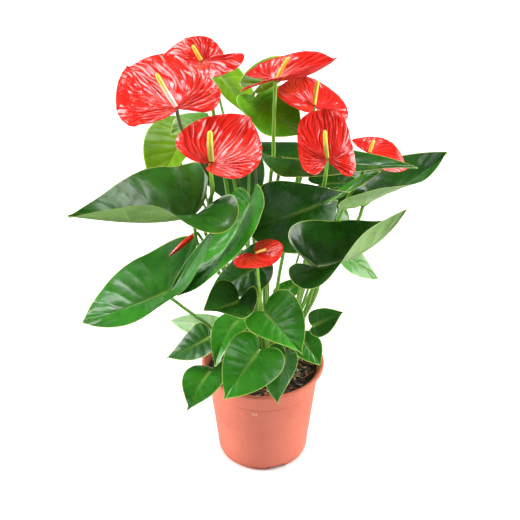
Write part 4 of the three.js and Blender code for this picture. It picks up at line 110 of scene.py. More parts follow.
# Radius, then the points of the stalk from the blade down into the soil.
STALKS = {
    "leaf_3": [1.75,[-11.4,-29.5,298.1],[-11,-26,296.1],[-10.3,-22.3,285.5],[-8.2,-13.4,248],[-6.6,-9.8,197.4],[-5.4,-10.4,147.1],[-4.1,-12.6,101],[-4,-12.6,97],[-3.9,-12.5,89]],
    "leaf_1": [1.75,[-62,-41.5,293.3],[-60.9,-40.9,289.5],[-58.6,-23.7,252.2],[-37.6,-12.9,209.5],[-31.5,-11.3,200.2],[-25.5,-11.9,190.6],[-21.6,-13.4,180],[-19.7,-13.2,168.4],[-19.3,-13.3,163.7],[-21.8,-9.9,140.4],[-21,-8.4,101],[-20.9,-8.3,97],[-20.8,-8.2,89]],
    "leaf_2": [1.75,[-87.1,-53.8,220.9],[-85.9,-53,217.1],[-81.3,-47.5,208.5],[-76.1,-39.7,197.5],[-64.4,-19.3,171.4],[-62.8,-15.6,166.8],[-60.2,-14.1,164.2],[-52.3,-13.6,156.5],[-46.8,-14.2,148.7],[-42.9,-14.7,141.2],[-27.3,-3.6,105],[-27.3,-3.6,101],[-27.4,-3.7,97],[-27.5,-3.9,89]],
    "leaf_4": [1.4,[-69.8,51.3,327.2],[-68.6,52.9,323.7],[-73.1,50.9,320.4],[-81.2,46.8,315.9],[-82.8,45.5,313.2],[-80.6,45.1,306.8],[-60.1,44.7,264.4],[-46.2,41.4,230.7],[-34.8,35.8,195.9],[-24.8,27.9,152.8],[-17.3,20,105],[-17.3,20,101],[-17.3,19.9,97],[-17.2,19.7,89]],
    "leaf_5": [1.4,[-41.5,74,375.1],[-43.2,75.3,371.7],[-40,82.4,344.3],[-32.2,93.9,300.1],[-31.7,93,296.2],[-31.3,58.3,247.4],[-31.5,44,225.7],[-30.4,41.4,218.7],[-18.5,31.7,169.8],[-8.4,22.9,112.3],[-7.5,22,101],[-7.6,22,97],[-7.8,22,89]],
    "leaf_6": [1.4,[-6.2,30,373.1],[-7.6,31.5,369.6],[-8.7,31.2,358.6],[-10.4,30,340],[-13,29.2,291.5],[-13.4,24.7,238.3],[-13.6,19.9,192],[-12,19.7,168.7],[-7.9,18.4,145.9],[-1.4,10.9,105],[-1.3,10.8,101],[-1.2,10.7,97],[-1,10.6,89]],
    "leaf_7": [1.75,[17.1,-10,333.8],[15.7,-10.2,330.1],[8.5,-8.8,277.5],[5.1,-6.7,226.9],[4.7,-3.8,167.6],[5.4,-1.3,108.9],[5.4,-1.1,101],[5.4,-1,97],[5.3,-0.9,89]],
    "leaf_11": [1.15,[55.4,37.3,280.2],[54.1,37.3,276.4],[37.7,31.8,219.3],[26.1,27,173.4],[15.4,20.3,115.9],[13.8,19.3,105],[13.7,19.4,101],[13.7,19.4,97],[13.7,19.6,89]],
    "leaf_8": [1.75,[93.3,29,263.8],[92.6,28.4,259.9],[89.8,27.1,249.8],[62.8,21.1,200.7],[44.4,16.8,161.7],[30,12.6,122],[25,10.9,105],[25,11,101],[24.9,11,97],[24.8,11.1,89]],
    "leaf_10": [1.4,[59.6,1.4,281.9],[60.1,4.2,279.1],[57.2,6,264.5],[46.3,7.8,216.2],[34.1,5.6,160.7],[23.7,2,105],[23.8,1.9,101],[23.9,1.9,97],[24.1,1.9,89]],
    "leaf_12": [1.4,[68,41.7,237.5],[67.2,44.7,235.1],[63.7,43.9,225.5],[48,33.6,179.6],[36.5,24.3,147.1],[16.9,11.3,105],[16.9,11.4,101],[16.8,11.5,97],[16.7,11.6,89]],
    "leaf_14": [1.4,[72.6,53.7,197.7],[70.4,54.7,194.4],[48.7,41.6,160.9],[24.3,22.7,111.5],[21.6,20.8,105],[21.6,20.7,101],[21.6,20.6,97],[21.6,20.5,89]],
    "leaf_15": [1.15,[-23.5,-61.1,215.3],[-22.9,-60.1,211.5],[-10,-39.3,160.2],[-3,-26.8,125.8],[-0.6,-19.4,105],[-0.5,-19.5,101],[-0.4,-19.6,97],[-0.3,-19.7,89]],
    "leaf_16": [1.4,[-0.9,-35,239.5],[1.4,-33.9,236.3],[3.1,-25.8,203.7],[3.6,-15.5,152.6],[2.6,-8.7,105],[2.6,-8.6,101],[2.7,-8.5,97],[2.7,-8.4,89]],
    "leaf_18": [1.4,[-5.3,-62,159.4],[-4.4,-58.1,160],[-3.1,-51.7,152.9],[1,-32.6,125.6],[7,-23.4,105],[7,-23.4,101],[7.1,-23.5,97],[7.2,-23.7,89]],
    "leaf_13": [1.75,[47.7,-79,264.4],[46.6,-78.7,260.5],[47.9,-67.5,232.8],[34.6,-47,181.2],[24.5,-32.3,136.1],[19.8,-26.2,115.2],[16.6,-23.3,105],[16.6,-23.4,101],[16.5,-23.5,97],[16.3,-23.6,89]],
    "leaf_9": [1.75,[49.4,-32.7,300.3],[50,-29.9,297.5],[48.8,-24.8,279.5],[43.1,-15.7,239.6],[37.7,-10.9,202.8],[31.5,-9.2,157.9],[26,-10.2,116.4],[24.4,-11.2,101],[24.3,-11.3,97],[24.1,-11.4,89]],
    "leaf_19": [1.15,[-51.3,-30,153.3],[-49.5,-28.8,149.9],[-14.6,-10.5,108.1],[-12.8,-9.5,105],[-12.7,-9.5,101],[-12.6,-9.5,97],[-12.4,-9.4,89]],
    "leaf_17": [1.4,[1.9,-55,199.4],[0.8,-53.1,196.1],[-0.7,-46.2,178.8],[1.4,-36.6,158.9],[8,-17.1,111.9],[8.7,-14.9,105],[8.6,-14.9,101],[8.6,-15,97],[8.4,-15.1,89]],
    "leaf_20": [1.15,[-50,-50,127.7],[-49.1,-48.8,124],[-39.4,-40.5,118.6],[-14,-19.3,106.8],[-12.1,-17.6,105],[-11.9,-17.6,101],[-11.8,-17.6,97],[-11.6,-17.5,89]],
    "leaf_23": [1.15,[48.1,-10,152.8],[47.3,-8.3,149.3],[33.6,-6.4,127.2],[19,-4.9,105],[19,-4.8,101],[19.1,-4.8,97],[19.2,-4.6,89]],
    "leaf_21": [1.4,[-24.3,-20.9,165.5],[-23.5,-19.6,161.8],[-17.4,-11.2,134.4],[-7.8,-2.7,105],[-7.8,-2.7,101],[-7.9,-2.8,97],[-8.1,-2.8,89]],
    "leaf_24": [1.15,[38.3,-19.9,141.9],[37.2,-17.7,138.7],[12.9,-7.6,108.1],[11.2,-6.8,105],[11.3,-6.9,101],[11.4,-7,97],[11.6,-7.1,89]],
    "leaf_27": [1.15,[-54.1,38,347.7],[-56.9,39.6,345.4],[-57,35,343.7],[-55.1,23.5,340.9],[-54.4,21.5,338.9],[-54.8,19.6,333.2],[-56.8,18.1,323.9],[-55.3,21.8,299.1],[-51.5,25.6,267.2],[-45.7,26.2,235],[-35.6,22.8,192],[-22.3,15.5,134.2],[-16.7,12.1,105],[-16.6,12,101],[-16.6,11.9,97],[-16.5,11.8,89]],
    "leaf_26": [1.15,[19.5,12,175],[18.6,12.2,171.1],[8.3,6.7,112.4],[7.3,6.1,101],[7.4,6.1,97],[7.6,6.1,89]],
    "leaf_22": [1.15,[20.9,-47.4,145.6],[21.9,-44.7,142.9],[17.2,-23.5,117.3],[16.7,-15.3,105],[16.6,-15.4,101],[16.5,-15.4,97],[16.4,-15.6,89]],
    "leaf_28": [1.4,[-1,28,388.4],[-1.8,26.9,384.6],[-8.5,32.7,375.8],[-10,30.1,371.2],[-9.5,27.6,363.5],[-10.4,25.7,348.3],[-6.1,19.4,290.4],[-1.9,15.6,230.7],[2.3,14.4,170.9],[6.6,14.4,112.7],[7,14.4,101],[6.9,14.4,97],[6.6,14.4,89]],
    "leaf_25": [1.15,[-47.8,0,144.6],[-46.6,0.2,140.8],[-16.7,3.9,110.8],[-11.9,4.8,105],[-11.8,4.7,101],[-11.6,4.6,97],[-11.3,4.4,89]],
    "spathe_2": [1.9,[-52.6,20,412.8],[-51.9,20.7,408.9],[-41.8,14,353.1],[-36.5,9.6,320.3],[-31.1,12.6,268.9],[-27.6,12,215.6],[-25,9,156.5],[-23.3,5.7,101],[-23.4,5.7,97],[-23.6,5.7,89]],
    "spathe_3": [1.9,[10.5,0,403.5],[10.3,0.1,399.5],[9.2,-5.6,365],[8.9,-8.2,349.7],[9.1,-10,337.8],[8.3,-11.2,332.8],[3.4,-2.2,275.9],[-0.2,1.2,226.4],[-2.8,2.2,167.5],[-2.3,2.8,108.9],[-2.3,2.9,101],[-2.3,2.9,97],[-2.3,3,89]],
    "spathe_1": [1.9,[-71.5,-50,401.9],[-71.2,-49.8,397.9],[-68.1,-41.5,377.9],[-49.5,-19.4,326],[-45.7,-14.7,312.7],[-48.7,-7.4,263.7],[-47.6,-7.7,256.5],[-33.2,-16.1,207.5],[-31.3,-15.7,196.4],[-28.6,-12.9,185.8],[-23.6,-9.7,176],[-19.6,-8.6,169.7],[-17,-9,162.4],[-14.5,-14.3,139.8],[-19.6,-17.9,105],[-19.7,-17.9,101],[-19.8,-17.9,97],[-20,-17.9,89]],
    "spathe_4": [1.9,[44.5,10,374.4],[43.8,10.2,370.4],[37.4,29.6,331.7],[36.9,29.9,327.7],[27.7,17.1,274],[20.2,10.6,230],[12.7,5.8,174.3],[14.5,3.8,116.6],[15,3.7,101],[15,3.7,97],[15.1,3.9,89]],
    "spathe_5": [1.9,[53.5,-60,359.7],[53.4,-58.8,355.9],[52.5,-45.2,329.6],[50.9,-29.5,306.2],[47.8,-26.4,299.7],[45.1,-25.4,288.2],[37.4,-24,229.9],[30.3,-19.9,173.4],[26.9,-17.3,143.2],[25.9,-19,101],[25.8,-19.1,97],[25.8,-19.2,89]],
    "spathe_7": [1.9,[95.3,20.6,322.7],[94.5,20.8,318.7],[91.6,31.3,297.4],[90.7,31.6,293.8],[85.2,28.7,283.6],[78.8,25.5,273.4],[64.2,15.4,235.7],[49.8,6.9,193.6],[39.2,1.5,153.7],[29.9,-3.1,105],[29.9,-3.2,101],[29.9,-3.3,97],[29.9,-3.5,89]],
    "spathe_8": [1.5,[-6.1,-86.2,282.4],[-5.3,-86,278.5],[-4.5,-73.7,250.1],[-0.7,-49.3,197.4],[3,-44.2,179.4],[4.1,-39.7,153.1],[4.2,-34.7,123.2],[2.1,-29.8,105],[2.1,-29.8,101],[2.1,-29.8,97],[2.2,-29.7,89]],
    "spathe_6": [1.9,[-42.8,-90,372.4],[-43.2,-89.5,368.4],[-43.1,-69.1,345],[-43.4,-48.8,322.2],[-46.8,-34.3,305.3],[-52.3,-13.5,260.5],[-52.2,-12.6,257.2],[-38.4,-18,232.3],[-14.9,-27,188],[-7.2,-29.6,171.7],[-6.4,-29.6,164.2],[-7.3,-26.1,123.7],[-6.6,-25,101],[-6.6,-24.9,97],[-6.7,-24.8,89]],
    "leaf_29": [1.75,[-31.8,45.6,307.1],[-30.9,44.4,303.4],[-20.5,32.4,248],[-10.2,22.7,191.3],[-8.1,17.6,168.3],[-8.6,14,144.8],[-8.7,13.8,109],[-8.5,13.8,101],[-8.5,13.8,97],[-8.3,13.8,89]],
    "leaf_30": [1.75,[7.6,64,217.2],[7.4,61.9,213.8],[1.1,50.3,202.5],[0.7,47.1,195.7],[1.4,30.3,141.3],[1.1,20.3,105],[1.1,20.1,101],[1,20,97],[0.9,19.8,89]],
    "leaf_31": [1.75,[38.4,56.2,293.3],[38,54.7,289.6],[24.1,36.9,234.3],[21.3,34.5,219.8],[12.5,29.6,161.1],[6.5,25.8,105],[6.6,25.8,101],[6.6,25.8,97],[6.7,25.7,89]],
    "leaf_32": [1.4,[-6.1,61.5,191.1],[-5.1,59.8,187.6],[-3.9,38.4,132.7],[-3.2,29,105],[-3.3,28.9,101],[-3.4,28.8,97],[-3.6,28.7,89]],
    "bud": [1.5,[-60.3,-23.9,265.2],[-58.8,-20.9,263],[-51.7,-14.6,244.1],[-40.5,-6.8,211],[-31.8,-2.4,179.3],[-25.5,-0.7,150],[-17.9,-0.4,105],[-17.9,-0.3,101],[-17.9,-0.2,97],[-17.9,0,89]],
}
# Radius, base, tip.
SPADICES = {
    "spathe_2": [1.79,[-53.5,19.7,413.6],[-61,23.3,426.3]],
    "spathe_3": [1.77,[11.3,0,404.5],[21.9,7.3,422.2]],
    "spathe_1": [2.09,[-72,-49.5,403],[-88,-40.7,429.3]],
    "spathe_4": [2.01,[44.6,10.6,375.5],[47.8,20.2,394.8]],
    "spathe_5": [1.92,[53.4,-59.9,361],[50.8,-59.3,386.6]],
    "spathe_7": [1.66,[96.2,20.6,323.5],[100.1,26.5,332.7]],
    "spathe_8": [1.37,[-5.9,-86.6,283.6],[3,-95.1,292.6]],
    "spathe_6": [2.61,[-42.2,-89.7,373.5],[-43.2,-80.6,397.1]],
}
BUD = [[-60.3, -23.9, 265.2], [-85.5, -35.6, 247]]

WORLD = (0.10, 0.46, 0.12)
FLOOR_GLOW = 0.34
FLOOR_MIRROR = 0.20
LIGHTS = [
    ("left_box", (-1.20, 0.12, 0.66), (0, 0, 0.18), (0.8, 0.95), 26),
    ("right_box", (1.20, 0.12, 0.66), (0, 0, 0.18), (0.8, 0.95), 26),
    ("top_box", (0.0, 0.62, 1.42), (0, 0, 0.25), (0.9, 0.26), 11),
    ("front_box", (-0.1, -0.85, 1.45), (0, 0, 0.25), (0.5, 0.4), 3.5),
]

LEAF = np.array([[0, 0], [0.06, -0.09], [0.2, -0.19], [0.45, -0.25], [0.72, -0.215], [0.92, -0.1], [1, 0.06], [0.965, 0.24], [0.84, 0.42], [0.66, 0.59], [0.44, 0.75], [0.23, 0.88], [0.07, 0.965], [0, 1]])
SPATHE = np.array([[0, 0], [0.1, -0.1], [0.28, -0.2], [0.54, -0.25], [0.8, -0.19], [0.97, -0.05], [1, 0.14], [0.96, 0.33], [0.84, 0.52], [0.66, 0.69], [0.42, 0.84], [0.2, 0.93], [0.05, 0.975], [0, 1]])
MID_START = 0.3
WARP_U, WARP_V = np.array([1.0, 0, 0]), np.array([0, 0.54132, 0.84081])


# ------------------------------------------------------------------ helpers
def smooth(x, a, b):
    u = np.clip((x - a) / (b - a), 0, 1)
    return u * u * (3 - 2 * u)


def vnoise(P, seed=0):
    """Value noise, -1 to 1, on an (..., 3) array."""
    P = np.asarray(P, float)
    i = np.floor(P).astype(np.int64)
    f = P - i
    f = f * f * (3 - 2 * f)

    def h(dx, dy, dz):
        n = ((i[..., 0] + dx) * 374761393 + (i[..., 1] + dy) * 668265263 + (i[..., 2] + dz) * 1440662683 + seed * 974634777) & 0xFFFFFFFF
        n = ((n ^ (n >> 13)) * 1274126177) & 0xFFFFFFFF
        return ((n ^ (n >> 16)) & 0xFFFF) / 32767.5 - 1

    out = 0
    for dx in (0, 1):
        for dy in (0, 1):
            for dz in (0, 1):
                w = (f[..., 0] if dx else 1 - f[..., 0]) * (f[..., 1] if dy else 1 - f[..., 1]) * (f[..., 2] if dz else 1 - f[..., 2])
                out = out + w * h(dx, dy, dz)
    return out


def catmull(tab, t):
    tab = np.asarray(tab, float)
    n = len(tab) - 1
    x = np.clip(np.asarray(t, float), 0, 1) * n
    i = np.minimum(x.astype(int), n - 1)
    u = (x - i)[..., None]
    p1, p2 = tab[i], tab[i + 1]
    p0 = np.where((i > 0)[..., None], tab[np.maximum(i - 1, 0)], 2 * p1 - p2)
    p3 = np.where((i < n - 1)[..., None], tab[np.minimum(i + 2, n)], 2 * p2 - p1)
    return 0.5 * (2 * p1 + (p2 - p0) * u + (2 * p0 - 5 * p1 + 4 * p2 - p3) * u * u + (3 * p1 - p0 - 3 * p2 + p3) * u ** 3)


def unit(v):
    v = np.asarray(v, float)
    return v / np.maximum(np.linalg.norm(v, axis=-1, keepdims=True), 1e-12)


class Sheet:
    """The middle surface of a blade or spathe, the same surface as the CAD sheet."""

    def __init__(self, row, outline):
        self.A, self.ey, self.ez = (np.array(row[k], float) for k in range(3))
        self.ex = unit(np.cross(self.ey, self.ez))
        self.L, self.W, self.asym, self.lobe = row[3]
        fl, fr, gl, gr, cl, cr, ol, orr = row[4]
        self.f = {1: (fr, gr, cr, orr), -1: (fl, gl, cl, ol)}
        self.k1, self.k2, self.ks, self.tau = row[5]
        self.w = {1: np.array(row[6], float).reshape(8, 2), -1: np.array(row[7], float).reshape(8, 2)}
        self.outline = outline

    def at(self, side, t, v):
        t, v = np.broadcast_arrays(np.asarray(t, float), np.asarray(v, float))
        m = catmull(self.outline, t)
        xm, ym = m[..., 0], m[..., 1]
        ym = np.where(ym < 0, ym * self.lobe / 0.25, ym)
        g = np.clip((t - MID_START) / (1 - MID_START), 0, 1) ** 1.6
        half = self.W / 2 * (1 + side * self.asym)
        s = xm * half * v
        Y = (g + (ym - g) * v) * self.L
        y = Y / self.L
        fold, grow, cup, lift = self.f[side]
        phi = fold + grow * np.clip(y, -0.4, 1)
        k = cup / (self.W / 2)
        k = 1e-7 if abs(k) < 1e-7 else k
        a = phi + k * s
        lat = (np.sin(a) - np.sin(phi)) / k
        up = (np.cos(phi) - np.cos(a)) / k + lift * np.where(y < 0, y * y, 0) * self.L
        N = 24
        wts = np.full(N + 1, 1.0 / N)
        wts[0] = wts[-1] = 0.5 / N
        yy = y[..., None] * np.linspace(0, 1, N + 1)
        an, sb = self.k1 * yy + self.k2 * yy * yy, self.ks * yy
        cx, cy, cz = (np.cos(an) * np.sin(sb)) @ wts * Y, (np.cos(an) * np.cos(sb)) @ wts * Y, np.sin(an) @ wts * Y
        An, S = self.k1 * y + self.k2 * y * y, self.ks * y
        ty = np.stack([np.cos(An) * np.sin(S), np.cos(An) * np.cos(S), np.sin(An)], -1)
        tx = np.stack([np.cos(S), -np.sin(S), np.zeros_like(S)], -1)
        tz = np.cross(tx, ty)
        tw = (self.tau * y)[..., None]
        xx, zz = tx * np.cos(tw) + tz * np.sin(tw), -tx * np.sin(tw) + tz * np.cos(tw)
        q = np.stack([cx, cy, cz], -1) + xx * (side * lat)[..., None] + zz * up[..., None]
        P = self.A + q[..., :1] * self.ex + q[..., 1:2] * self.ey + q[..., 2:] * self.ez
        tab = np.zeros((10, 2))
        tab[1:9] = self.w[side]
        wv = catmull(tab, t) * (v * v)[..., None]
        P = P + wv[..., :1] * WARP_U + wv[..., 1:] * WARP_V
        rib = np.hypot(xm * half, (ym - g) * self.L)
        return P, s, Y, rib


class Soup:
    """Collects vertices, faces, a material number per face and two vectors per vertex."""

    def __init__(self):
        self.V, self.F, self.M, self.a, self.b, self.n = [], [], [], [], [], 0

    def add(self, V, F, m, a=None, b=None):
        V = np.asarray(V, float)
        z = np.zeros((len(V), 3))
        self.V.append(V)
        self.F += [tuple(int(i) + self.n for i in f) for f in F]
        self.M += list(m) if hasattr(m, "__len__") else [m] * len(F)
        self.a.append(z if a is None else a)
        self.b.append(z if b is None else b)
        self.n += len(V)

    def build(self, name, mats, body="root", node=None, sharp=55, flat=False):
        V = (np.concatenate(self.V) + SHIFT) * MM
        V = np.clip(V, np.array(list(CAD_LO)) + 2e-5, np.array(list(CAD_HI)) - 2e-5)
        me = bpy.data.meshes.new(name)
        me.from_pydata(V.tolist(), [], self.F)
        for m in mats:
            me.materials.append(m)
        me.polygons.foreach_set("material_index", np.array(self.M, np.int32))
        for nm, arr in (("va", self.a), ("vb", self.b)):
            at = me.attributes.new(nm, "FLOAT_VECTOR", "POINT")
            at.data.foreach_set("vector", np.concatenate(arr).astype(np.float32).ravel())
        me.validate()
        me.update()
        if not flat:
            me.shade_smooth()
            me.set_sharp_from_angle(angle=math.radians(sharp))
        ob = bpy.data.objects.new(name, me)
        bpy.context.scene.collection.objects.link(ob)
        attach(ob, body)
        if node:
            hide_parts(node)
        return ob


def grid_sheet(soup, sh, nt, nv, veins, thick, hfun, ridge, seed, mats=(0, 1, 2), fan=0.0):
    """Two skins and a rim. va = (vein phase, vein spacing, distance to the midrib), vb = (distance to the margin, v, t)."""
    ts = np.linspace(0, 1, nt + 1)
    vs = np.linspace(0, 1, nv + 1) ** 1.3
    T, Vv = np.meshgrid(ts, vs, indexing="ij")
    pts, pa, pb, ids, faces = [], [], [], {}, []
    rr = np.random.RandomState(seed)
    j1, j2, j3 = rr.rand(3) * 6.28
    mid = {}
    for side in (1, -1):
        X, s, Y, rib = sh.at(side, T, Vv)
        phase = veins * (T - 0.035 * Vv ** 2) + 0.22 * np.sin(9 * T + j1) + side * Vv * 0.25 * np.sin(7 * T + j2)
        gap = np.linalg.norm(np.gradient(X, axis=0), axis=-1) * nt / veins
        if fan:
            tip = fan * sh.L
            ang = np.arctan2(np.abs(s) * tip, s * s + Y * Y - tip * Y)
            phase = veins * (1 - ang / np.pi) + 0.30 * np.sin(3.0 * (np.pi - ang) + j1) + 0.25 * side * np.sin(2.6 * ang + j2)
            phase = phase + 0.60 * vnoise(np.stack([phase * 0.6, np.hypot(s, Y) / 16, 0 * s + side * 3.0 + seed], -1), 11)
            gap = np.hypot(s, Y) * np.hypot(s, Y - tip) / tip * np.pi / veins
        dmid = np.hypot(s, np.minimum(Y, 0))
        a = np.stack([phase, gap, dmid], -1)
        b = np.stack([rib * (1 - Vv), Vv, T], -1)
        ID = -np.ones((nt + 1, nv + 1), int)
        for i in range(nt + 1):
            for j in range(nv + 1):
                key = "A" if i == 0 or (j == 0 and ts[i] <= MID_START) else "T" if i == nt else ("m", i) if j == 0 else None
                if key is not None and key in mid:
                    ID[i, j] = mid[key]
                    continue
                ID[i, j] = len(pts)
                pts.append(X[i, j])
                pa.append(a[i, j])
                pb.append(b[i, j])
                if key is not None:
                    mid[key] = ID[i, j]
        ids[side] = ID
        for i in range(nt):
            for j in range(nv):
                q = [ID[i, j], ID[i, j + 1], ID[i + 1, j + 1], ID[i + 1, j]]
                if side < 0:
                    q = q[::-1]
                f = []
                for k in q:
                    if not f or (k != f[-1] and k != f[0]):
                        f.append(k)
                if len(f) > 2:
                    faces.append(f)
    P, A, B = np.array(pts), np.array(pa), np.array(pb)
    nrm = np.zeros_like(P)
    for f in faces:
        n = np.cross(P[f[1]] - P[f[0]], P[f[-1]] - P[f[0]]) if len(f) == 3 else np.cross(P[f[2]] - P[f[0]], P[f[3]] - P[f[1]])
        for k in f:
            nrm[k] += n
    nrm = unit(nrm)
    h = hfun(P, A, B)
    low = ridge(P, A, B)
    th = thick * (1 - 0.6 * B[:, 1] ** 8) / 2
    top = P + nrm * (th + h)[:, None]
    bot = P + nrm * (-th + h - low)[:, None]
    n0 = len(P)
    edge = {}
    for f in faces:
        for u, w in zip(f, f[1:] + f[:1]):
            edge[(u, w)] = 1
    rim = [(w, u, u + n0, w + n0) for (u, w) in edge if (w, u) not in edge]
    F = [tuple(f) for f in faces] + [tuple(k + n0 for k in f[::-1]) for f in faces] + rim
    M = [mats[0]] * len(faces) + [mats[1]] * len(faces) + [mats[2]] * len(rim)
    soup.add(np.concatenate([top, bot]), F, M, np.concatenate([A, A]), np.concatenate([B, B]))


def vein_parts(A, B):
    ph, gap, dm = A.T
    de, v, t = B.T
    d = np.abs(ph - np.floor(ph) - 0.5) * gap
    env = smooth(v, 0.03, 0.2) * (1 - smooth(v, 0.86, 1.0))
    return ph, gap, dm, de, v, t, d, env


def leaf_height(L, seed, lift=1.0):
    def h(P, A, B):
        ph, gap, dm, de, v, t, d, env = vein_parts(A, B)
        k = min(1, L / 100)
        y = -0.26 * np.exp(-(d / 1.0) ** 2) * env + 0.17 * np.cos(2 * np.pi * ph) * env * smooth(gap, 2, 9) * k
        y += -0.45 * np.exp(-(dm / 1.1) ** 2) * (1 - 0.7 * t)
        y += 0.55 * k * vnoise(P / 15, seed) * smooth(v, 0.05, 0.4) + 0.26 * k * vnoise(P / 6, seed + 5) * env
        if lift > 1:
            y = y + (0.42 * vnoise(P / 3.6, seed + 9) + 0.55 * vnoise(P / 7.5, seed + 2)) * env
        return y
    return h


def leaf_ridge(L):
    def r(P, A, B):
        ph, gap, dm, de, v, t, d, env = vein_parts(A, B)
        k = 0.5 + 0.5 * min(1, L / 100)
        return k * (1.1 * (1 - 0.75 * t) * np.exp(-(dm / 1.25) ** 2) + 0.16 * np.exp(-(d / 0.9) ** 2) * env)
    return r


def spathe_height(L, seed):
    def h(P, A, B):
        ph, gap, dm, de, v, t, d, env = vein_parts(A, B)
        k = min(1, 0.35 + L / 110)
        run = v * L / 22 + t * 1.5
        env = smooth(gap, 0.5, 2.4) * (1 - 0.5 * smooth(v, 0.92, 1.0))
        u = 2 * np.abs(ph - np.floor(ph) - 0.5)
        wide = np.clip(gap / 5.0, 0.3, 1.35)
        pill = 1 - (1 - u) ** 2.2
        amp = 0.85 + 0.95 * vnoise(np.stack([np.floor(ph + 0.5) * 3.1, run * 1.3, 0 * v + seed], -1), 5)
        y = 1.30 * wide * pill * np.clip(amp, 0.12, 1.6) * env
        y += 0.65 * vnoise(np.stack([ph * 0.8, run * 1.1, 0 * v + seed], -1), 3) * env
        y += 0.42 * wide * vnoise(np.stack([ph * 2.4, run * 3.0, 0 * v + seed], -1), 7) * env * pill
        y += -0.5 * np.exp(-(dm / 1.2) ** 2) * (1 - t)
        return y * k
    return h


def no_ridge(P, A, B):
    return np.zeros(len(P))


def along(P, step):
    """Smooth route through the points, resampled."""
    P = np.asarray(P, float)
    n = len(P) - 1
    seg = np.linalg.norm(np.diff(P, axis=0), axis=1)
    out = []
    for i in range(n):
        p1, p2 = P[i], P[i + 1]
        m1 = (P[i + 1] - P[i - 1]) / (seg[i] + seg[i - 1]) * seg[i] if i > 0 else (p2 - p1)
        m2 = (P[i + 2] - P[i]) / (seg[i] + seg[i + 1]) * seg[i] if i < n - 1 else (p2 - p1)
        c = max(1, int(math.ceil(seg[i] / step)))
        for u in np.arange(c) / c:
            out.append((2 * u ** 3 - 3 * u * u + 1) * p1 + (u ** 3 - 2 * u * u + u) * m1 + (-2 * u ** 3 + 3 * u * u) * p2 + (u ** 3 - u * u) * m2)
    out.append(P[-1])
    return np.array(out)


def tube(soup, P, rad, sides, mat, caps=True, extra=None):
    """Swept round tube. va = (distance from its first point, angle, 0)."""
    P = np.asarray(P, float)
    n = len(P)
    tan = unit(np.gradient(P, axis=0))
    rad = np.broadcast_to(rad, (n,)) if extra is None else rad
    u = unit(np.cross(tan[0], [0, 0, 1.0] if abs(tan[0][2]) < 0.9 else [1.0, 0, 0]))
    s = np.concatenate([[0], np.cumsum(np.linalg.norm(np.diff(P, axis=0), axis=1))])
    V, F, a = [], [], []
    for i in range(n):
        u = unit(u - tan[i] * (u @ tan[i]))
        w = np.cross(tan[i], u)
        for k in range(sides):
            th = 2 * math.pi * k / sides
            V.append(P[i] + rad[i] * (u * math.cos(th) + w * math.sin(th)))
            a.append((s[i], th, s[-1] - s[i]))
    for i in range(n - 1):
        for k in range(sides):
            p, q = i * sides + k, i * sides + (k + 1) % sides
            F.append((p, q, q + sides, p + sides))
    if caps:
        F.append(tuple(range(sides))[::-1])
        F.append(tuple((n - 1) * sides + k for k in range(sides)))
    soup.add(V, F, mat, np.array(a))


# ------------------------------------------------------------------ materials
class Mat:
    def __init__(self, name):
        self.m = bpy.data.materials.new(name)
        self.m.use_nodes = True
        self.t = self.m.node_tree
        self.t.nodes.clear()
        self.out = self.t.nodes.new("ShaderNodeOutputMaterial")
        self.p = self.t.nodes.new("ShaderNodeBsdfPrincipled")
        self.t.links.new(self.p.outputs[0], self.out.inputs[0])

    def node(self, kind, ins=(), **props):
        n = self.t.nodes.new("ShaderNode" + kind)
        for k, v in props.items():
            setattr(n, k, v)
        for k, v in dict(ins).items():
            s = n.inputs[k]
            if isinstance(v, bpy.types.NodeSocket):
                self.t.links.new(v, s)
            else:
                s.default_value = v
        return n

    def set(self, **ins):
        for k, v in ins.items():
            s = self.p.inputs[k.replace("_", " ")]
            if isinstance(v, bpy.types.NodeSocket):
                self.t.links.new(v, s)
            else:
                s.default_value = v

    def attr(self, name):
        a = self.node("Attribute", attribute_name=name)
        s = self.node("SeparateXYZ", {0: a.outputs["Vector"]})
        return s.outputs[0], s.outputs[1], s.outputs[2]

    def math(self, op, a, b=0.0, c=0.0, clamp=False):
        n = self.node("Math", {0: a, 1: b, 2: c}, operation=op)
        n.use_clamp = clamp
        return n.outputs[0]

    def ramp(self, x, a, b, lo=0.0, hi=1.0):
        return self.node("MapRange", {0: x, 1: a, 2: b, 3: lo, 4: hi}, interpolation_type="SMOOTHSTEP").outputs[0]

    def mix(self, f, a, b, blend="MIX"):
        n = self.node("Mix", data_type="RGBA", blend_type=blend)
        for i, v in ((0, f), (6, a), (7, b)):
            if isinstance(v, bpy.types.NodeSocket):
                self.t.links.new(v, n.inputs[i])
            else:
                n.inputs[i].default_value = v if i == 0 else (*v, 1)
        return n.outputs[2]

    def pos(self):
        return self.node("TexCoord").outputs["Object"]

    def noise(self, scale, detail=3, rough=0.5, vec=None, dist=0.0):
        return self.node("TexNoise", {"Vector": vec or self.pos(), "Scale": scale, "Detail": detail, "Roughness": rough, "Distortion": dist}).outputs[0]

    def cells(self, scale, feature="DISTANCE_TO_EDGE", vec=None):
        return self.node("TexVoronoi", {"Vector": vec or self.pos(), "Scale": scale}, feature=feature).outputs[0]

    def bump(self, h, strength, dist, normal=None):
        ins = {"Height": h, "Strength": strength, "Distance": dist}
        if normal:
            ins["Normal"] = normal
        return self.node("Bump", ins).outputs[0]


def scale3(c, k):
    return tuple(min(1, x * k) for x in c)


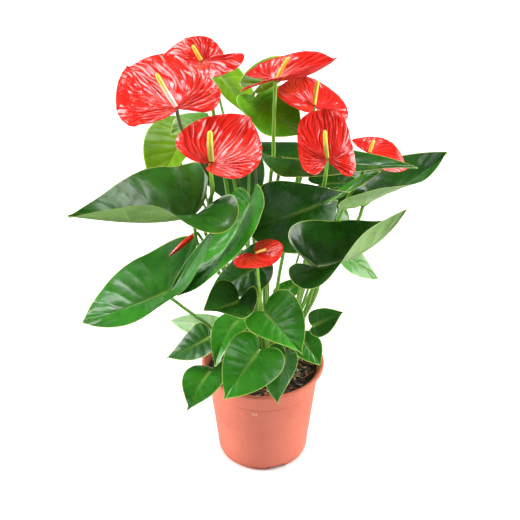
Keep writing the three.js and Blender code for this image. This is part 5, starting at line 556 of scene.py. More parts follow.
def leaf_mat(name, dark, light, vein, edge, rough=0.30, under=False, sss=0.0, gloss=1.0, veiny=0.10):
    m = Mat(name)
    ph, gap, dm = m.attr("va")
    de, v, t = m.attr("vb")
    tri = m.math("ABSOLUTE", m.math("SUBTRACT", m.math("FRACT", ph), 0.5))
    d = m.math("MULTIPLY", tri, gap)
    lat = m.ramp(d, 0.15, 0.75, 1, 0)
    lat = m.math("MULTIPLY", lat, m.math("MULTIPLY", m.ramp(v, 0.02, 0.12), m.ramp(v, 0.55, 0.93, 1, 0)))
    midw = m.math("MULTIPLY_ADD", t, -0.42, 0.62)
    mid = m.math("MULTIPLY", m.ramp(m.math("DIVIDE", dm, midw), 0.35, 1.15, 1, 0), m.ramp(v, 0.9, 0.5))
    knot = m.ramp(dm, 0.8, 2.6, 1, 0)
    big = m.noise(38, 3, 0.55)
    col = m.mix(m.ramp(big, 0.36, 0.66), dark, light)
    # painted shade: on the upper face the blade is darker near its attachment and over the basal lobes
    base = m.math("MULTIPLY", m.ramp(t, 0.52, 0.16), m.ramp(v, 0.05, 0.35))
    if not under:
        col = m.mix(m.math("MULTIPLY", base, 0.50), col, scale3(dark, 0.62))
    fine = m.noise(420, 3, 0.6)
    col = m.mix(m.math("MULTIPLY", m.ramp(fine, 0.3, 0.75), 0.35), col, scale3(light, 1.25))
    net = m.cells(330)
    netl = m.ramp(net, 0.0, 0.07, 1, 0)
    col = m.mix(m.math("MULTIPLY", netl, 0.22 if under else 0.05), col, vein)
    col = m.mix(m.math("MULTIPLY", lat, 0.50 if under else veiny), col, vein)
    col = m.mix(m.math("MULTIPLY", mid, 0.85 if under else 0.30), col, vein)
    col = m.mix(m.math("MULTIPLY", m.math("MULTIPLY", knot, m.ramp(t, 0.9, 0.2)), 0.5), col, edge)
    rim = m.ramp(de, 0.35, 1.05, 1, 0)
    col = m.mix(m.math("MULTIPLY", rim, 0.85), col, edge)
    r = m.ramp(m.noise(90, 4, 0.6), 0.3, 0.75, rough - 0.05, rough + 0.10)
    n = m.bump(m.math("ADD", m.math("MULTIPLY", netl, -0.5), fine), 0.35, 0.00012)
    n = m.bump(m.noise(150, 3, 0.5), 0.25, 0.0006, n)
    m.set(Base_Color=col, Roughness=r, Normal=n)
    m.p.inputs["Specular IOR Level"].default_value = 0.34 * gloss if not under else 0.22
    m.p.inputs["Coat Weight"].default_value = 0.0 if under else 0.20 * gloss
    m.p.inputs["Coat Roughness"].default_value = 0.12
    m.p.inputs["Subsurface Weight"].default_value = sss
    m.p.inputs["Subsurface Radius"].default_value = (0.5, 1.0, 0.1)
    m.p.inputs["Subsurface Scale"].default_value = 0.0012
    return m.m


def rim_mat(name, edge):
    m = Mat(name)
    m.set(Base_Color=m.mix(m.ramp(m.noise(300), 0.3, 0.7), scale3(edge, 0.8), edge), Roughness=0.45)
    return m.m


def stalk_mat(name, top, low, fleck):
    m = Mat(name)
    s, th, rest = m.attr("va")
    col = m.mix(m.ramp(s, 10, 190), top, low)
    streak = m.node("TexNoise", {"Vector": m.node("CombineXYZ", {0: m.math("MULTIPLY", s, 0.06), 1: m.math("SINE", th), 2: m.math("COSINE", th)}).outputs[0], "Scale": 3.2, "Detail": 4}).outputs[0]
    col = m.mix(m.math("MULTIPLY", m.ramp(streak, 0.42, 0.68), 0.45), col, fleck)
    col = m.mix(m.math("MULTIPLY", m.ramp(m.noise(700, 2), 0.62, 0.72), 0.4), col, scale3(low, 0.55))
    n = m.bump(streak, 0.3, 0.0004)
    m.set(Base_Color=col, Roughness=m.ramp(m.noise(200), 0.3, 0.7, 0.30, 0.46), Normal=n)
    return m.m


def spathe_mat(name, base, deep, vein, rough, coat, under=False):
    m = Mat(name)
    ph, gap, dm = m.attr("va")
    de, v, t = m.attr("vb")
    tri = m.math("ABSOLUTE", m.math("SUBTRACT", m.math("FRACT", ph), 0.5))
    d = m.math("MULTIPLY", tri, gap)
    lat = m.math("MULTIPLY", m.ramp(d, 0.15, 1.15, 1, 0), m.math("MULTIPLY", m.ramp(v, 0.02, 0.12), m.ramp(v, 0.75, 0.99, 1, 0)))
    col = m.mix(m.ramp(m.noise(60, 4, 0.6), 0.35, 0.68), base, deep)
    col = m.mix(m.math("MULTIPLY", m.ramp(m.noise(260, 4, 0.65), 0.5, 0.75), 0.4), col, scale3(base, 1.15))
    # on the red upper face the dark vein colour along the veins and the midrib is partly the veins' own colour, partly
    # painted shade in the sunken creases there
    col = m.mix(m.math("MULTIPLY", lat, 0.60), col, vein)
    col = m.mix(m.math("MULTIPLY", m.ramp(dm, 0.4, 1.6, 1, 0), 0.35), col, vein)
    col = m.mix(m.math("MULTIPLY", m.ramp(de, 0.2, 1.4, 1, 0), 0.35), col, deep)
    # painted shade: a near-black patch in the folded crease at the tip
    cusp = m.math("MULTIPLY", m.ramp(t, 0.972, 0.997), m.ramp(v, 0.80, 0.96))
    col = m.mix(m.math("MULTIPLY", cusp, 0.85), col, (0.10, 0.008, 0.008))
    q = m.node("CombineXYZ", {0: m.math("MULTIPLY", ph, 1.5), 1: m.math("MULTIPLY", gap, 1.6), 2: 0.0}).outputs[0]
    wr = m.noise(1.6, 4, 0.6, q, 0.6)
    n = m.bump(wr, 0.55, 0.0011)
    n = m.bump(m.noise(900, 3, 0.6), 0.18, 0.0002, n)
    m.set(Base_Color=col, Roughness=m.ramp(m.noise(120, 3), 0.3, 0.7, rough - 0.04, rough + 0.08), Normal=n)
    m.p.inputs["Specular IOR Level"].default_value = 0.2
    m.p.inputs["Coat Weight"].default_value = coat
    m.p.inputs["Coat Roughness"].default_value = 0.03
    m.p.inputs["Subsurface Weight"].default_value = 0.08
    m.p.inputs["Subsurface Radius"].default_value = (0.004, 0.0008, 0.0006)
    m.p.inputs["Subsurface Scale"].default_value = 0.5
    return m.m


def spadix_mat(name, low, high):
    """va.x runs from base to tip, va.y is the height of a bump."""
    m = Mat(name)
    s, hgt, _ = m.attr("va")
    col = m.mix(m.ramp(m.math("ADD", s, m.math("MULTIPLY", m.noise(300), 0.12)), 0.35, 0.85), low, high)
    # painted shade: darker in the hollows between the bumps
    col = m.mix(m.math("MULTIPLY", m.ramp(hgt, 0.45, 0.0), 0.5), col, scale3(low, 0.62))
    col = m.mix(m.math("MULTIPLY", m.ramp(m.noise(1500, 2), 0.55, 0.7), 0.35), col, scale3(high, 1.3))
    m.set(Base_Color=col, Roughness=0.55, Normal=m.bump(m.noise(1800, 2), 0.3, 0.0001))
    m.p.inputs["Subsurface Weight"].default_value = 0.1
    m.p.inputs["Subsurface Radius"].default_value = (0.002, 0.0015, 0.0006)
    m.p.inputs["Subsurface Scale"].default_value = 0.5
    return m.m


G = {
    "d": leaf_mat("leaf_dark", (0.008, 0.060, 0.004), (0.020, 0.125, 0.007), (0.12, 0.34, 0.04), (0.46, 0.62, 0.12)),
    "m": leaf_mat("leaf_mid", (0.014, 0.118, 0.005), (0.032, 0.205, 0.011), (0.16, 0.42, 0.05), (0.50, 0.66, 0.13)),
    "b": leaf_mat("leaf_bright", (0.022, 0.190, 0.007), (0.048, 0.300, 0.015), (0.22, 0.50, 0.06), (0.54, 0.72, 0.15)),
    "v": leaf_mat("leaf_vivid", (0.014, 0.170, 0.002), (0.036, 0.265, 0.005), (0.26, 0.55, 0.05), (0.50, 0.70, 0.12), sss=0.2, gloss=0.65),
    "q": leaf_mat("leaf_light", (0.130, 0.370, 0.060), (0.210, 0.480, 0.110), (0.42, 0.66, 0.18), (0.56, 0.74, 0.20), sss=0.3, gloss=0.5, veiny=0.3),
    "p": leaf_mat("leaf_pale", (0.072, 0.220, 0.038), (0.120, 0.290, 0.066), (0.42, 0.66, 0.18), (0.56, 0.74, 0.20), sss=0.3, gloss=0.7),
    # tone w: a pale grey-green, painted sheen for a glossy leaf reflecting the bright surroundings
    "w": leaf_mat("leaf_silver", (0.270, 0.430, 0.210), (0.420, 0.570, 0.350), (0.55, 0.68, 0.44), (0.62, 0.74, 0.40), sss=0.2, gloss=0.7),
    # tone t: a brighter copy of the leaf green, painted light for a leaf lit through from behind
    "t": leaf_mat("leaf_lit", (0.085, 0.300, 0.008), (0.150, 0.420, 0.014), (0.36, 0.60, 0.08), (0.54, 0.72, 0.14), sss=0.4, gloss=0.4, veiny=0.38),
    "y": leaf_mat("leaf_olive", (0.090, 0.215, 0.005), (0.150, 0.300, 0.008), (0.30, 0.48, 0.06), (0.50, 0.64, 0.12), sss=0.3, gloss=0.3, veiny=0.38),
}
GU = {
    "d": leaf_mat("leaf_under", (0.125, 0.240, 0.062), (0.195, 0.340, 0.095), (0.36, 0.52, 0.17), (0.42, 0.54, 0.15), 0.42, True),
    "y": leaf_mat("leaf_under_olive", (0.150, 0.290, 0.022), (0.220, 0.380, 0.036), (0.40, 0.58, 0.12), (0.50, 0.62, 0.14), 0.42, True),
}
GR = rim_mat("leaf_rim", (0.42, 0.52, 0.14))
PET = stalk_mat("petiole", (0.150, 0.360, 0.030), (0.095, 0.240, 0.026), (0.26, 0.40, 0.09))
PED = stalk_mat("peduncle", (0.230, 0.500, 0.030), (0.130, 0.320, 0.024), (0.36, 0.54, 0.09))
PED_BROWN = stalk_mat("peduncle_brown", (0.120, 0.130, 0.050), (0.080, 0.130, 0.030), (0.17, 0.20, 0.08))
# the dark vein colour (0.42, 0.004, 0.005) is partly vein colour, partly painted shade in the creases
RED = spathe_mat("spathe_red", (0.93, 0.030, 0.017), (0.76, 0.014, 0.009), (0.42, 0.004, 0.005), 0.11, 0.65)
RED_U = spathe_mat("spathe_under", (0.64, 0.018, 0.016), (0.50, 0.010, 0.010), (0.74, 0.07, 0.05), 0.36, 0.1, True)

TONE = {1: "m", 2: "m", 3: "v", 4: "y", 5: "y", 6: "t", 28: "y", 10: "b", 12: "m", 14: "p", 15: "d", 17: "b", 18: "b", 19: "d", 20: "m", 21: "b", 22: "m", 24: "m", 25: "w", 26: "m", 27: "q"}

# ------------------------------------------------------------------ leaves
Q = 1.0
QS = 1.0


def petiole(soup, key, sh, mat, r_top=1.0):
    r, *pts = STALKS[key]
    pts = [np.array(p, float) for p in pts]
    r *= 0.93
    # it runs into the midrib under the blade
    mids = [sh.at(1, MID_START + (1 - MID_START) * g ** (1 / 1.6), 0.0)[0] for g in (0.13, 0.07, 0.02)]
    e = sh.ez
    lead = [mids[0] - e * 0.5, mids[1] - e * r * 0.55, mids[2] - e * r * 0.8]
    route = along(lead + [sh.A - e * r * 0.85] + pts[1:], 3.0)
    s = np.concatenate([[0], np.cumsum(np.linalg.norm(np.diff(route, axis=0), axis=1))])
    s0 = np.linalg.norm(lead[0] - lead[1]) + np.linalg.norm(lead[1] - lead[2]) + np.linalg.norm(lead[2] - sh.A)
    rad = r * (0.25 + 0.75 * smooth(s, 0, s0)) * (1 + 0.16 * np.exp(-((s - s0 - 6) / 6) ** 2)) * (1 + 0.12 * smooth(s, s[-1] - 30, s[-1]))
    tube(soup, route, rad, 10, mat)


for i in range(1, 33):
    key = "leaf_%d" % i
    sh = Sheet(BLADES[key], LEAF)
    tone = TONE.get(i, "d")
    nt, nv = (104, 20) if sh.L > 80 else (78, 15) if sh.L > 48 else (60, 12)
    soup = Soup()
    grid_sheet(soup, sh, int(nt * Q), int(nv * Q), 11 if sh.L > 60 else 9, 0.5, leaf_height(sh.L, i * 13, 1.7 if i == 3 else 1.0), leaf_ridge(sh.L), i * 31)
    petiole(soup, key, sh, 3)
    soup.build("fine_" + key, [G[tone], GU["y" if tone in "yt" else "d"], GR, PED_BROWN if i == 28 else PET], node=key)

# ------------------------------------------------------------------ flowers
SPX_LOW = {1: (0.97, 0.95, 0.82), 2: (0.93, 0.74, 0.05), 3: (0.95, 0.76, 0.05), 4: (0.88, 0.76, 0.08), 5: (0.46, 0.50, 0.05), 6: (0.46, 0.50, 0.05), 7: (0.92, 0.68, 0.06), 8: (0.94, 0.45, 0.06)}
SPX_HIGH = {1: (0.96, 0.82, 0.06), 8: (0.96, 0.60, 0.12), 5: (0.90, 0.80, 0.07), 6: (0.90, 0.80, 0.07)}


def spadix(key, no, base, tip, r):
    base, tip = np.array(base, float), np.array(tip, float)
    ax = unit(tip - base)
    L = np.linalg.norm(tip - base)
    ns, na = int(max(40, L * 4.2) * (1)), 54
    u = unit(np.cross(ax, [0.3, 1, 0.2]))
    w = np.cross(ax, u)
    S, TH = np.meshgrid(np.linspace(0, 1, ns + 1), np.arange(na) / na * 2 * np.pi, indexing="ij")
    prof = (0.80 + 0.2 * np.sin(np.pi * np.clip(S, 0, 0.5))) * np.where(S > 0.86, np.sqrt(np.clip(1 - ((S - 0.86) / 0.14) ** 2, 0, 1)), 1) * (1 - 0.16 * S)
    rows = L / 0.78
    a, b = S * rows, TH / (2 * np.pi) * 13
    row = np.floor(a)
    hgt = np.abs(np.sin(np.pi * a) * np.sin(np.pi * (b + 0.5 * (row % 2)))) ** 0.8
    R = r * prof + 0.16 * hgt * np.minimum(1, prof * 1.5) - 0.05
    R = np.maximum(R, 0.02)
    bend = 0.02 * L * np.sin(np.pi * S)
    P = base + ax * (S * L)[..., None] + (u * (R * np.cos(TH) + bend)[..., None]) + w * (R * np.sin(TH))[..., None]
    F = [(i * na + k, i * na + (k + 1) % na, (i + 1) * na + (k + 1) % na, (i + 1) * na + k) for i in range(ns) for k in range(na)]
    F = [f for f in F] + [tuple(range(na))[::-1], tuple(ns * na + k for k in range(na))]
    at = np.stack([S, hgt, TH], -1).reshape(-1, 3)
    soup = Soup()
    soup.add(P.reshape(-1, 3), F, 0, at)
    return soup.build("fine_spadix_%d" % no, [spadix_mat("spadix_%d" % no, SPX_LOW[no], SPX_HIGH.get(no, (0.95, 0.82, 0.07)))], node="spadix_%d" % no, sharp=80)


for no in range(1, 9):
    key = "spathe_%d" % no
    sh = Sheet(BLADES[key], SPATHE)
    soup = Soup()
    big = sh.L > 45
    grid_sheet(soup, sh, int((220 if big else 120) * QS), int((56 if big else 32) * QS), 16 if big else 12, 0.55, spathe_height(sh.L, no * 17), no_ridge, no * 7, fan=1.16)
    soup.build("fine_" + key, [RED, RED_U, RED_U], node=key)
    r, base, tip = SPADICES[key]
    spadix(key, no, base, tip, r)
    r, *pts = STALKS[key]
    pts = [np.array(p, float) for p in pts]
    route = along([sh.A - sh.ez * 0.2 + sh.ey * 0.4] + pts[1:], 3.0)
    s = np.concatenate([[0], np.cumsum(np.linalg.norm(np.diff(route, axis=0), axis=1))])
    rad = r * 0.93 * (1 - 0.12 * np.exp(-s / 25)) * (1 + 0.25 * np.exp(-((s) / 2.2) ** 2)) * (1 + 0.12 * smooth(s, s[-1] - 30, s[-1]))
    soup = Soup()
    tube(soup, route, rad, 12, 0)
    soup.build("fine_peduncle_%d" % no, [PED_BROWN if no == 1 else PED], node="peduncle_%d" % no)

# the rolled bud: a tapered scroll with an overlapping edge
a, c = (np.array(p, float) for p in BUD)
ax = unit(c - a)
L = np.linalg.norm(c - a)
u = unit(np.cross(ax, [0, 0, 1]))
w = np.cross(u, ax)
ns, na = 60, 48
V, at, bt = [], [], []
for i in range(ns + 1):
    s = i / ns
    R = 2.75 * (math.sin(math.pi * min(1, 0.12 + s * 0.95)) ** 0.55) * (1 - 0.25 * s) + 0.12
    for k in range(na + 1):
        th = 2 * math.pi * 1.22 * k / na + 1.6 * s
        rr = R * (1.0 - 0.16 * k / na) + 0.10 * math.sin(th * 5 + s * 3)
        V.append(a + ax * (s * L + 1.2 * (k / na) * s) + u * rr * math.cos(th) + w * rr * math.sin(th))
        at.append((k / na * 3, 8.0, 6))
        bt.append((min(k, na - k) * 0.4, 0.5, s))
n1 = len(V)
Vi = [a + ax * (((p - a) @ ax)) + ((p - a) - ax * ((p - a) @ ax)) * 0.88 for p in V]
F = []
for i in range(ns):
    for k in range(na):
        p = i * (na + 1) + k
        q = (p, p + 1, p + na + 2, p + na + 1)
        F += [q, tuple(x + n1 for x in q[::-1])]
for i in range(ns):
    for k in (0, na):
        p = i * (na + 1) + k
        q = (p, p + na + 1, p + na + 1 + n1, p + n1)
        F.append(q if k == 0 else q[::-1])
for i in (0, ns):
    for k in range(na):
        p = i * (na + 1) + k
        q = (p + 1, p, p + n1, p + 1 + n1)
        F.append(q if i == 0 else q[::-1])
soup = Soup()
soup.add(V + Vi, F, 0, np.array(at + at), np.array(bt + bt))
bud = soup.build("fine_spathe_9", [RED], node="spathe_9")
r, *pts = STALKS["bud"]
pts = [np.array(p, float) for p in pts]
route = along([a + ax * 0.8] + pts[1:], 3.0)
s = np.concatenate([[0], np.cumsum(np.linalg.norm(np.diff(route, axis=0), axis=1))])
soup = Soup()
tube(soup, route, r * 0.93 * (1 + 0.2 * np.exp(-s / 2)), 12, 0)
soup.build("fine_peduncle_9", [PED], node="peduncle_9")

# ------------------------------------------------------------------ pot
POT_RIM_R, POT_H, POT_BASE_R, POT_WALL_TOP_R, POT_WALL, RIM_H, STEP, FOOT_R = 60, 105, 43.9, 55.2, 1.7, 4.6, 21.5, 43


def wall_r(z):
    return POT_BASE_R + (POT_WALL_TOP_R - POT_BASE_R) * z / (POT_H - RIM_H)


sz = POT_H - STEP
prof = [(0.01, 3.2), (FOOT_R - 3.9, 3.2), (FOOT_R - 3.6, 2.9), (FOOT_R - 3.6, 0.35), (FOOT_R - 3.3, 0.02), (FOOT_R - 0.9, 0.02), (FOOT_R - 0.35, 0.4),
        (FOOT_R - 0.15, 3.3), (FOOT_R - 0.05, 3.8), (wall_r(4.4) - 0.15, 4.15), (wall_r(5) - 0.02, 4.7), (wall_r(8) - 0.02, 8)]
prof += [(wall_r(z) - 0.02, z) for z in np.linspace(14, sz - 3, 12)]
prof += [(wall_r(sz) - 0.42, sz - 0.9), (wall_r(sz) - 0.55, sz - 0.3), (wall_r(sz) - 0.35, sz + 0.1), (wall_r(sz) + 0.18, sz + 0.5), (wall_r(sz) + 0.30, sz + 1.0)]
prof += [(wall_r(z) + 0.28, z) for z in np.linspace(sz + 3, POT_H - RIM_H - 1.4, 4)]
prof += [(POT_WALL_TOP_R + 0.35, POT_H - RIM_H - 0.4), (POT_WALL_TOP_R + 0.9, POT_H - RIM_H + 0.05), (POT_RIM_R - 1.3, POT_H - RIM_H + 0.02), (POT_RIM_R - 0.45, POT_H - RIM_H + 0.35), (POT_RIM_R - 0.05, POT_H - RIM_H + 1.1),
         (POT_RIM_R, POT_H - RIM_H + 2.2), (POT_RIM_R - 0.05, POT_H - 1.5), (POT_RIM_R - 0.5, POT_H - 0.5), (POT_RIM_R - 1.4, POT_H - 0.02), (POT_RIM_R - 2.6, POT_H - 0.1), (POT_RIM_R - 3.7, POT_H - 0.7),
         (POT_RIM_R - 4.9, POT_H - 2.4), (POT_WALL_TOP_R - POT_WALL + 0.1, POT_H - RIM_H + 0.4)]
prof += [(wall_r(z) - POT_WALL, z) for z in (POT_H - RIM_H - 2, 60, 30, 8, 6.2)] + [(wall_r(5.8) - POT_WALL - 0.4, 5.8), (0.01, 5.8)]
NS = 192
V, F = [], []
for r, z in prof:
    for k in range(NS):
        th = 2 * math.pi * k / NS
        V.append((r * math.cos(th), r * math.sin(th), z))
n = len(prof)
for i in range(n - 1):
    for k in range(NS):
        p, q = i * NS + k, i * NS + (k + 1) % NS
        F.append((p, q, q + NS, p + NS))
F.append(tuple(range(NS))[::-1])
F.append(tuple((n - 1) * NS + k for k in range(NS)))


def pot_mat():
    m = Mat("pot_plastic")
    z = m.node("SeparateXYZ", {0: m.pos()}).outputs[2]
    col = m.mix(m.ramp(m.noise(22, 3, 0.5), 0.35, 0.65), (0.61, 0.140, 0.080), (0.67, 0.165, 0.096))
    col = m.mix(m.math("MULTIPLY", m.ramp(m.noise(600, 3, 0.6), 0.55, 0.75), 0.25), col, (0.90, 0.36, 0.25))
    stain = m.math("MULTIPLY", m.ramp(m.noise(70, 5, 0.7), 0.60, 0.72), m.ramp(z, 0.06, 0.10))
    col = m.mix(m.math("MULTIPLY", stain, 0.25), col, (0.55, 0.17, 0.11))
    low = m.math("MULTIPLY", m.ramp(z, 0.012, 0.0), m.ramp(m.noise(120, 4), 0.3, 0.7))
    col = m.mix(m.math("MULTIPLY", low, 0.35), col, (0.50, 0.16, 0.11))
    # painted shade: dark bands under the rim, along the step and at the foot
    for zz, wd, k in ((POT_H - STEP - 0.1, 0.55, 0.55), (POT_H - RIM_H - 0.1, 0.7, 0.5), (4.4, 0.5, 0.45)):
        painted_groove_shade = m.ramp(m.math("ABSOLUTE", m.math("SUBTRACT", z, zz * MM)), wd * 0.2 * MM, wd * MM, 1, 0)
        col = m.mix(m.math("MULTIPLY", painted_groove_shade, k), col, (0.30, 0.065, 0.040))
    scuff = m.node("VectorMath", {0: m.pos(), 1: ((-7.9 + SHIFT[0]) * MM, (-52.0 + SHIFT[1]) * MM, 78.4 * MM)}, operation="DISTANCE").outputs["Value"]
    scuff = m.math("MULTIPLY", m.ramp(scuff, 0.0012, 0.0036, 1, 0), m.ramp(m.noise(520, 3, 0.7), 0.50, 0.60))
    col = m.mix(m.math("MULTIPLY", scuff, 0.85), col, (0.95, 0.74, 0.62))
    rings = m.node("TexNoise", {"Vector": m.node("CombineXYZ", {0: 0.0, 1: 0.0, 2: m.math("MULTIPLY", z, 600.0)}).outputs[0], "Scale": 1.0, "Detail": 3}).outputs[0]
    n = m.bump(rings, 0.12, 0.0003)
    n = m.bump(m.noise(1200, 2), 0.10, 0.0002, n)
    m.set(Base_Color=col, Roughness=m.ramp(m.noise(150, 4), 0.3, 0.7, 0.36, 0.50), Normal=n)
    m.p.inputs["Specular IOR Level"].default_value = 0.45
    return m.m


soup = Soup()
soup.add(V, F, 0)
pot = soup.build("fine_pot", [pot_mat()], node="pot", sharp=34)
cut = Soup()
for az in (-70.4, 49.6, 169.6):
    ca, sa = math.cos(math.radians(az)), math.sin(math.radians(az))
    V = [(x * ca - y * sa, x * sa + y * ca, z) for x in (FOOT_R - 8, FOOT_R + 8) for y in (-8.75, 8.75) for z in (-5, 4.4)]
    cut.add(V, [(0, 1, 3, 2), (4, 6, 7, 5), (0, 4, 5, 1), (2, 3, 7, 6), (0, 2, 6, 4), (1, 5, 7, 3)], 0)
for i in range(6):
    th0 = 2 * math.pi * (i + 0.5) / 6
    cx, cy = 26 * math.cos(th0), 26 * math.sin(th0)
    V = [(cx + 5 * math.cos(2 * math.pi * k / 32), cy + 5 * math.sin(2 * math.pi * k / 32), z) for z in (-2, 10) for k in range(32)]
    F = [(k, (k + 1) % 32, 32 + (k + 1) % 32, 32 + k) for k in range(32)] + [tuple(range(32))[::-1], tuple(range(32, 64))]
    cut.add(V, F, 0)
me = bpy.data.meshes.new("cut")
me.from_pydata(((np.concatenate(cut.V) + SHIFT) * MM).tolist(), [], cut.F)
me.materials.append(pot.data.materials[0])
cutter = bpy.data.objects.new("cut", me)
bpy.context.scene.collection.objects.link(cutter)
md = pot.modifiers.new("cut", "BOOLEAN")
md.object, md.operation, md.solver = cutter, "DIFFERENCE", "EXACT"
dg = bpy.context.evaluated_depsgraph_get()
new = bpy.data.meshes.new_from_object(pot.evaluated_get(dg))
pot.modifiers.clear()
pot.data = new
new.set_sharp_from_angle(angle=math.radians(34))
bpy.data.objects.remove(cutter)

# ------------------------------------------------------------------ soil
rs = np.random.RandomState(41)


def soil_mat(name, a, b, c, rough=0.9, wet=0.0):
    m = Mat(name)
    col = m.mix(m.ramp(m.noise(160, 5, 0.7), 0.35, 0.65), a, b)
    col = m.mix(m.math("MULTIPLY", m.ramp(m.noise(650, 3, 0.7), 0.55, 0.7), 0.7), col, c)
    n = m.bump(m.noise(900, 5, 0.7), 0.9, 0.0009)
    m.set(Base_Color=col, Roughness=m.ramp(m.noise(300), 0.3, 0.7, rough - 0.3, rough), Normal=n)
    return m.m


SOIL = [soil_mat("peat", (0.014, 0.007, 0.005), (0.040, 0.020, 0.013), (0.10, 0.05, 0.03)),
        soil_mat("peat_lump", (0.020, 0.009, 0.006), (0.055, 0.025, 0.016), (0.13, 0.055, 0.03)),
        soil_mat("fibre_red", (0.30, 0.060, 0.030), (0.48, 0.13, 0.07), (0.60, 0.26, 0.15), 0.8),
        soil_mat("fibre_pale", (0.62, 0.48, 0.34), (0.84, 0.72, 0.56), (0.93, 0.86, 0.74), 0.8)]
soil = Soup()
nr, na, RS = (60, 180, 52.7)
R = np.concatenate([[0.02], np.linspace(1, RS, nr)])
Rg, Tg = np.meshgrid(R, np.arange(na) / na * 2 * np.pi, indexing="ij")
X, Y = Rg * np.cos(Tg), Rg * np.sin(Tg)
Z = 96.1 + 1.1 * vnoise(np.stack([X / 9, Y / 9, 0 * X], -1), 1) + 0.8 * vnoise(np.stack([X / 3.2, Y / 3.2, 0 * X], -1), 2) + 0.45 * vnoise(np.stack([X / 1.3, Y / 1.3, 0 * X], -1), 3)
Z += 1.2 * smooth(Rg, 44, 52) * (1 + vnoise(np.stack([X / 6, Y / 6, 0 * X], -1), 4)) * 0.5 - 1.0 * smooth(Rg, 50, 52.7)
rows = [np.stack([X, Y, Z], -1).reshape(-1, 3)]
rows.append(np.stack([X[-1] * 0.996, Y[-1] * 0.996, 0 * X[-1] + 90], -1))
rows.append(np.stack([X[-1] * 0.815, Y[-1] * 0.815, 0 * X[-1] + 6.4], -1))
V = np.concatenate(rows)
m = nr + 3
F = [(i * na + k, (i + 1) * na + k, (i + 1) * na + (k + 1) % na, i * na + (k + 1) % na) for i in range(m - 1) for k in range(na)]
F += [tuple(range(na)), tuple((m - 1) * na + k for k in range(na))[::-1]]
soil.add(V, F, 0)


def ico():
    t = (1 + 5 ** 0.5) / 2
    V = [(-1, t, 0), (1, t, 0), (-1, -t, 0), (1, -t, 0), (0, -1, t), (0, 1, t), (0, -1, -t), (0, 1, -t), (t, 0, -1), (t, 0, 1), (-t, 0, -1), (-t, 0, 1)]
    F = [(0, 11, 5), (0, 5, 1), (0, 1, 7), (0, 7, 10), (0, 10, 11), (1, 5, 9), (5, 11, 4), (11, 10, 2), (10, 7, 6), (7, 1, 8), (3, 9, 4), (3, 4, 2), (3, 2, 6), (3, 6, 8), (3, 8, 9), (4, 9, 5), (2, 4, 11), (6, 2, 10), (8, 6, 7), (9, 8, 1)]
    V = [unit(v) for v in V]
    G2, mids = [], {}
    for f in F:
        e = []
        for a, b in ((0, 1), (1, 2), (2, 0)):
            k = tuple(sorted((f[a], f[b])))
            if k not in mids:
                mids[k] = len(V)
                V.append(unit(V[k[0]] + V[k[1]]))
            e.append(mids[k])
        G2 += [(f[0], e[0], e[2]), (f[1], e[1], e[0]), (f[2], e[2], e[1]), tuple(e)]
    return np.array(V), G2


IV, IF = ico()


def ground(x, y):
    p = lambda s, z: vnoise(np.array([x / s, y / s, 0.0]), z)
    return 96.1 + 1.1 * p(9, 1) + 0.8 * p(3.2, 2)


for i in range(620):
    r, th = 51 * math.sqrt(rs.rand()), rs.rand() * 6.283
    x, y, q = r * math.cos(th), r * math.sin(th), 0.6 + 1.8 * rs.rand() ** 2
    D = unit(IV + 0.0)
    sc = np.array([q * (0.8 + rs.rand()), q * (0.8 + rs.rand()), q * (0.5 + 0.4 * rs.rand())])
    W = D * (1 + 0.28 * vnoise(D * 1.7 + i * 3.1, 9))[:, None] * sc
    ca, sa = math.cos(th * 7), math.sin(th * 7)
    W = np.stack([W[:, 0] * ca - W[:, 1] * sa, W[:, 0] * sa + W[:, 1] * ca, W[:, 2]], -1)
    k = rs.rand()
    soil.add(W + [x, y, ground(x, y) + 0.25 * q], IF, 1 if k < 0.86 else 2 if k < 0.95 else 3)
for i in range(330):
    r, th = 49 * math.sqrt(rs.rand()), rs.rand() * 6.283
    x, y, d, Lf = r * math.cos(th), r * math.sin(th), rs.rand() * 6.283, 3 + 10 * rs.rand() ** 1.5
    cur, up = (rs.rand() - 0.5) * 1.8, rs.rand() * 1.6
    P = []
    for k in range(8):
        s = k / 7
        P.append((x + Lf * (s - 0.5) * math.cos(d + cur * s), y + Lf * (s - 0.5) * math.sin(d + cur * s), 0))
    P = [(a0, b0, ground(a0, b0) + 0.5 + up * math.sin(math.pi * k / 7) * 0.8) for k, (a0, b0, _) in enumerate(P) if math.hypot(a0, b0) < 51.5]
    if len(P) < 4:
        continue
    rad = 0.20 + 0.38 * rs.rand() ** 2
    tube(soil, P, np.linspace(rad, rad * 0.5, len(P)), 5, 2 if rs.rand() < 0.55 else 3)
soil.build("fine_soil", SOIL, node="soil", sharp=60)

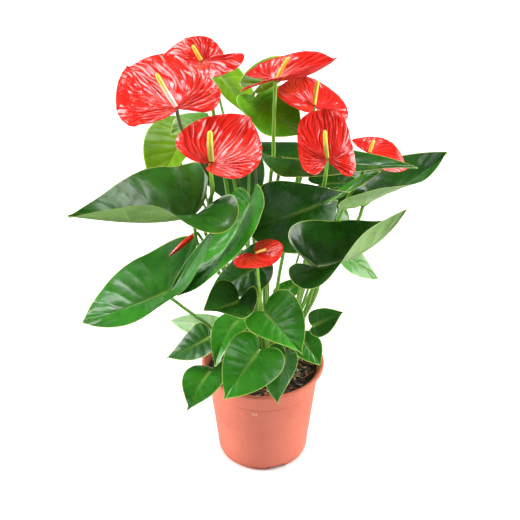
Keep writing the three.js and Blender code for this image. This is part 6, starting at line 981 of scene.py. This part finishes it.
# ------------------------------------------------------------------ stage
me = bpy.data.meshes.new("floor")
me.from_pydata([(-8, -8, 0), (8, -8, 0), (8, 8, 0), (-8, 8, 0)], [], [(0, 1, 2, 3)])
floor = bpy.data.objects.new("floor", me)
bpy.context.scene.collection.objects.link(floor)
fm = Mat("floor")
fm.set(Roughness=0.6)
fm.p.inputs["Specular IOR Level"].default_value = 0.1
fm.p.inputs["Emission Color"].default_value = (1, 1, 1, 1)
fx = fm.node("SeparateXYZ", {0: fm.pos()})
far = fm.math("POWER", fm.math("ADD", fm.math("POWER", fm.math("SUBTRACT", fx.outputs[0], SHIFT[0] * MM), 2.0), fm.math("POWER", fm.math("SUBTRACT", fx.outputs[1], SHIFT[1] * MM), 2.0)), 0.5)
fm.set(Emission_Strength=fm.ramp(far, 0.0425, 0.050, 0.0, FLOOR_GLOW))
fl = fm.node("LightPath")
fm.set(Base_Color=fm.mix(fl.outputs["Is Glossy Ray"], (0.94, 0.94, 0.94), (FLOOR_MIRROR, FLOOR_MIRROR, FLOOR_MIRROR)))

me.materials.append(fm.m)

world = bpy.data.worlds.new("studio")
bpy.context.scene.world = world
world.use_nodes = True
wt = world.node_tree
bg = wt.nodes["Background"]
bg.inputs[0].default_value = (1, 1, 1, 1)
co = wt.nodes.new("ShaderNodeTexCoord")
sep = wt.nodes.new("ShaderNodeSeparateXYZ")
wt.links.new(co.outputs["Generated"], sep.inputs[0])
mr = wt.nodes.new("ShaderNodeMapRange")
mr.interpolation_type = "SMOOTHSTEP"
for k, x in enumerate((-0.25, 0.55, WORLD[0], WORLD[1])):
    mr.inputs[k + 1].default_value = x
wt.links.new(sep.outputs[1], mr.inputs[0])
lp = wt.nodes.new("ShaderNodeLightPath")
gl = wt.nodes.new("ShaderNodeMath")
gl.operation = "MULTIPLY"
gl.inputs[1].default_value = WORLD[2]
wt.links.new(mr.outputs[0], gl.inputs[0])
mg = wt.nodes.new("ShaderNodeMix")
mg.data_type = "FLOAT"
wt.links.new(lp.outputs["Is Glossy Ray"], mg.inputs[0])
wt.links.new(mr.outputs[0], mg.inputs[2])
wt.links.new(gl.outputs[0], mg.inputs[3])
mx = wt.nodes.new("ShaderNodeMix")
mx.data_type = "FLOAT"
wt.links.new(lp.outputs["Is Camera Ray"], mx.inputs[0])
wt.links.new(mg.outputs[0], mx.inputs[2])
mx.inputs[3].default_value = 1.0
wt.links.new(mx.outputs[0], bg.inputs[1])


def area(name, loc, target, size, power, color=(1, 1, 1)):
    d = bpy.data.lights.new(name, "AREA")
    d.shape, d.size, d.size_y, d.energy, d.color = "RECTANGLE", size[0], size[1], power, color
    o = bpy.data.objects.new(name, d)
    o.location = loc
    o.rotation_euler = (Vector(target) - Vector(loc)).to_track_quat("-Z", "Y").to_euler()
    bpy.context.scene.collection.objects.link(o)


for L in LIGHTS:
    area(*L)
bpy.context.scene.view_settings.view_transform = "Standard"
bpy.context.scene.view_settings.look = "None"
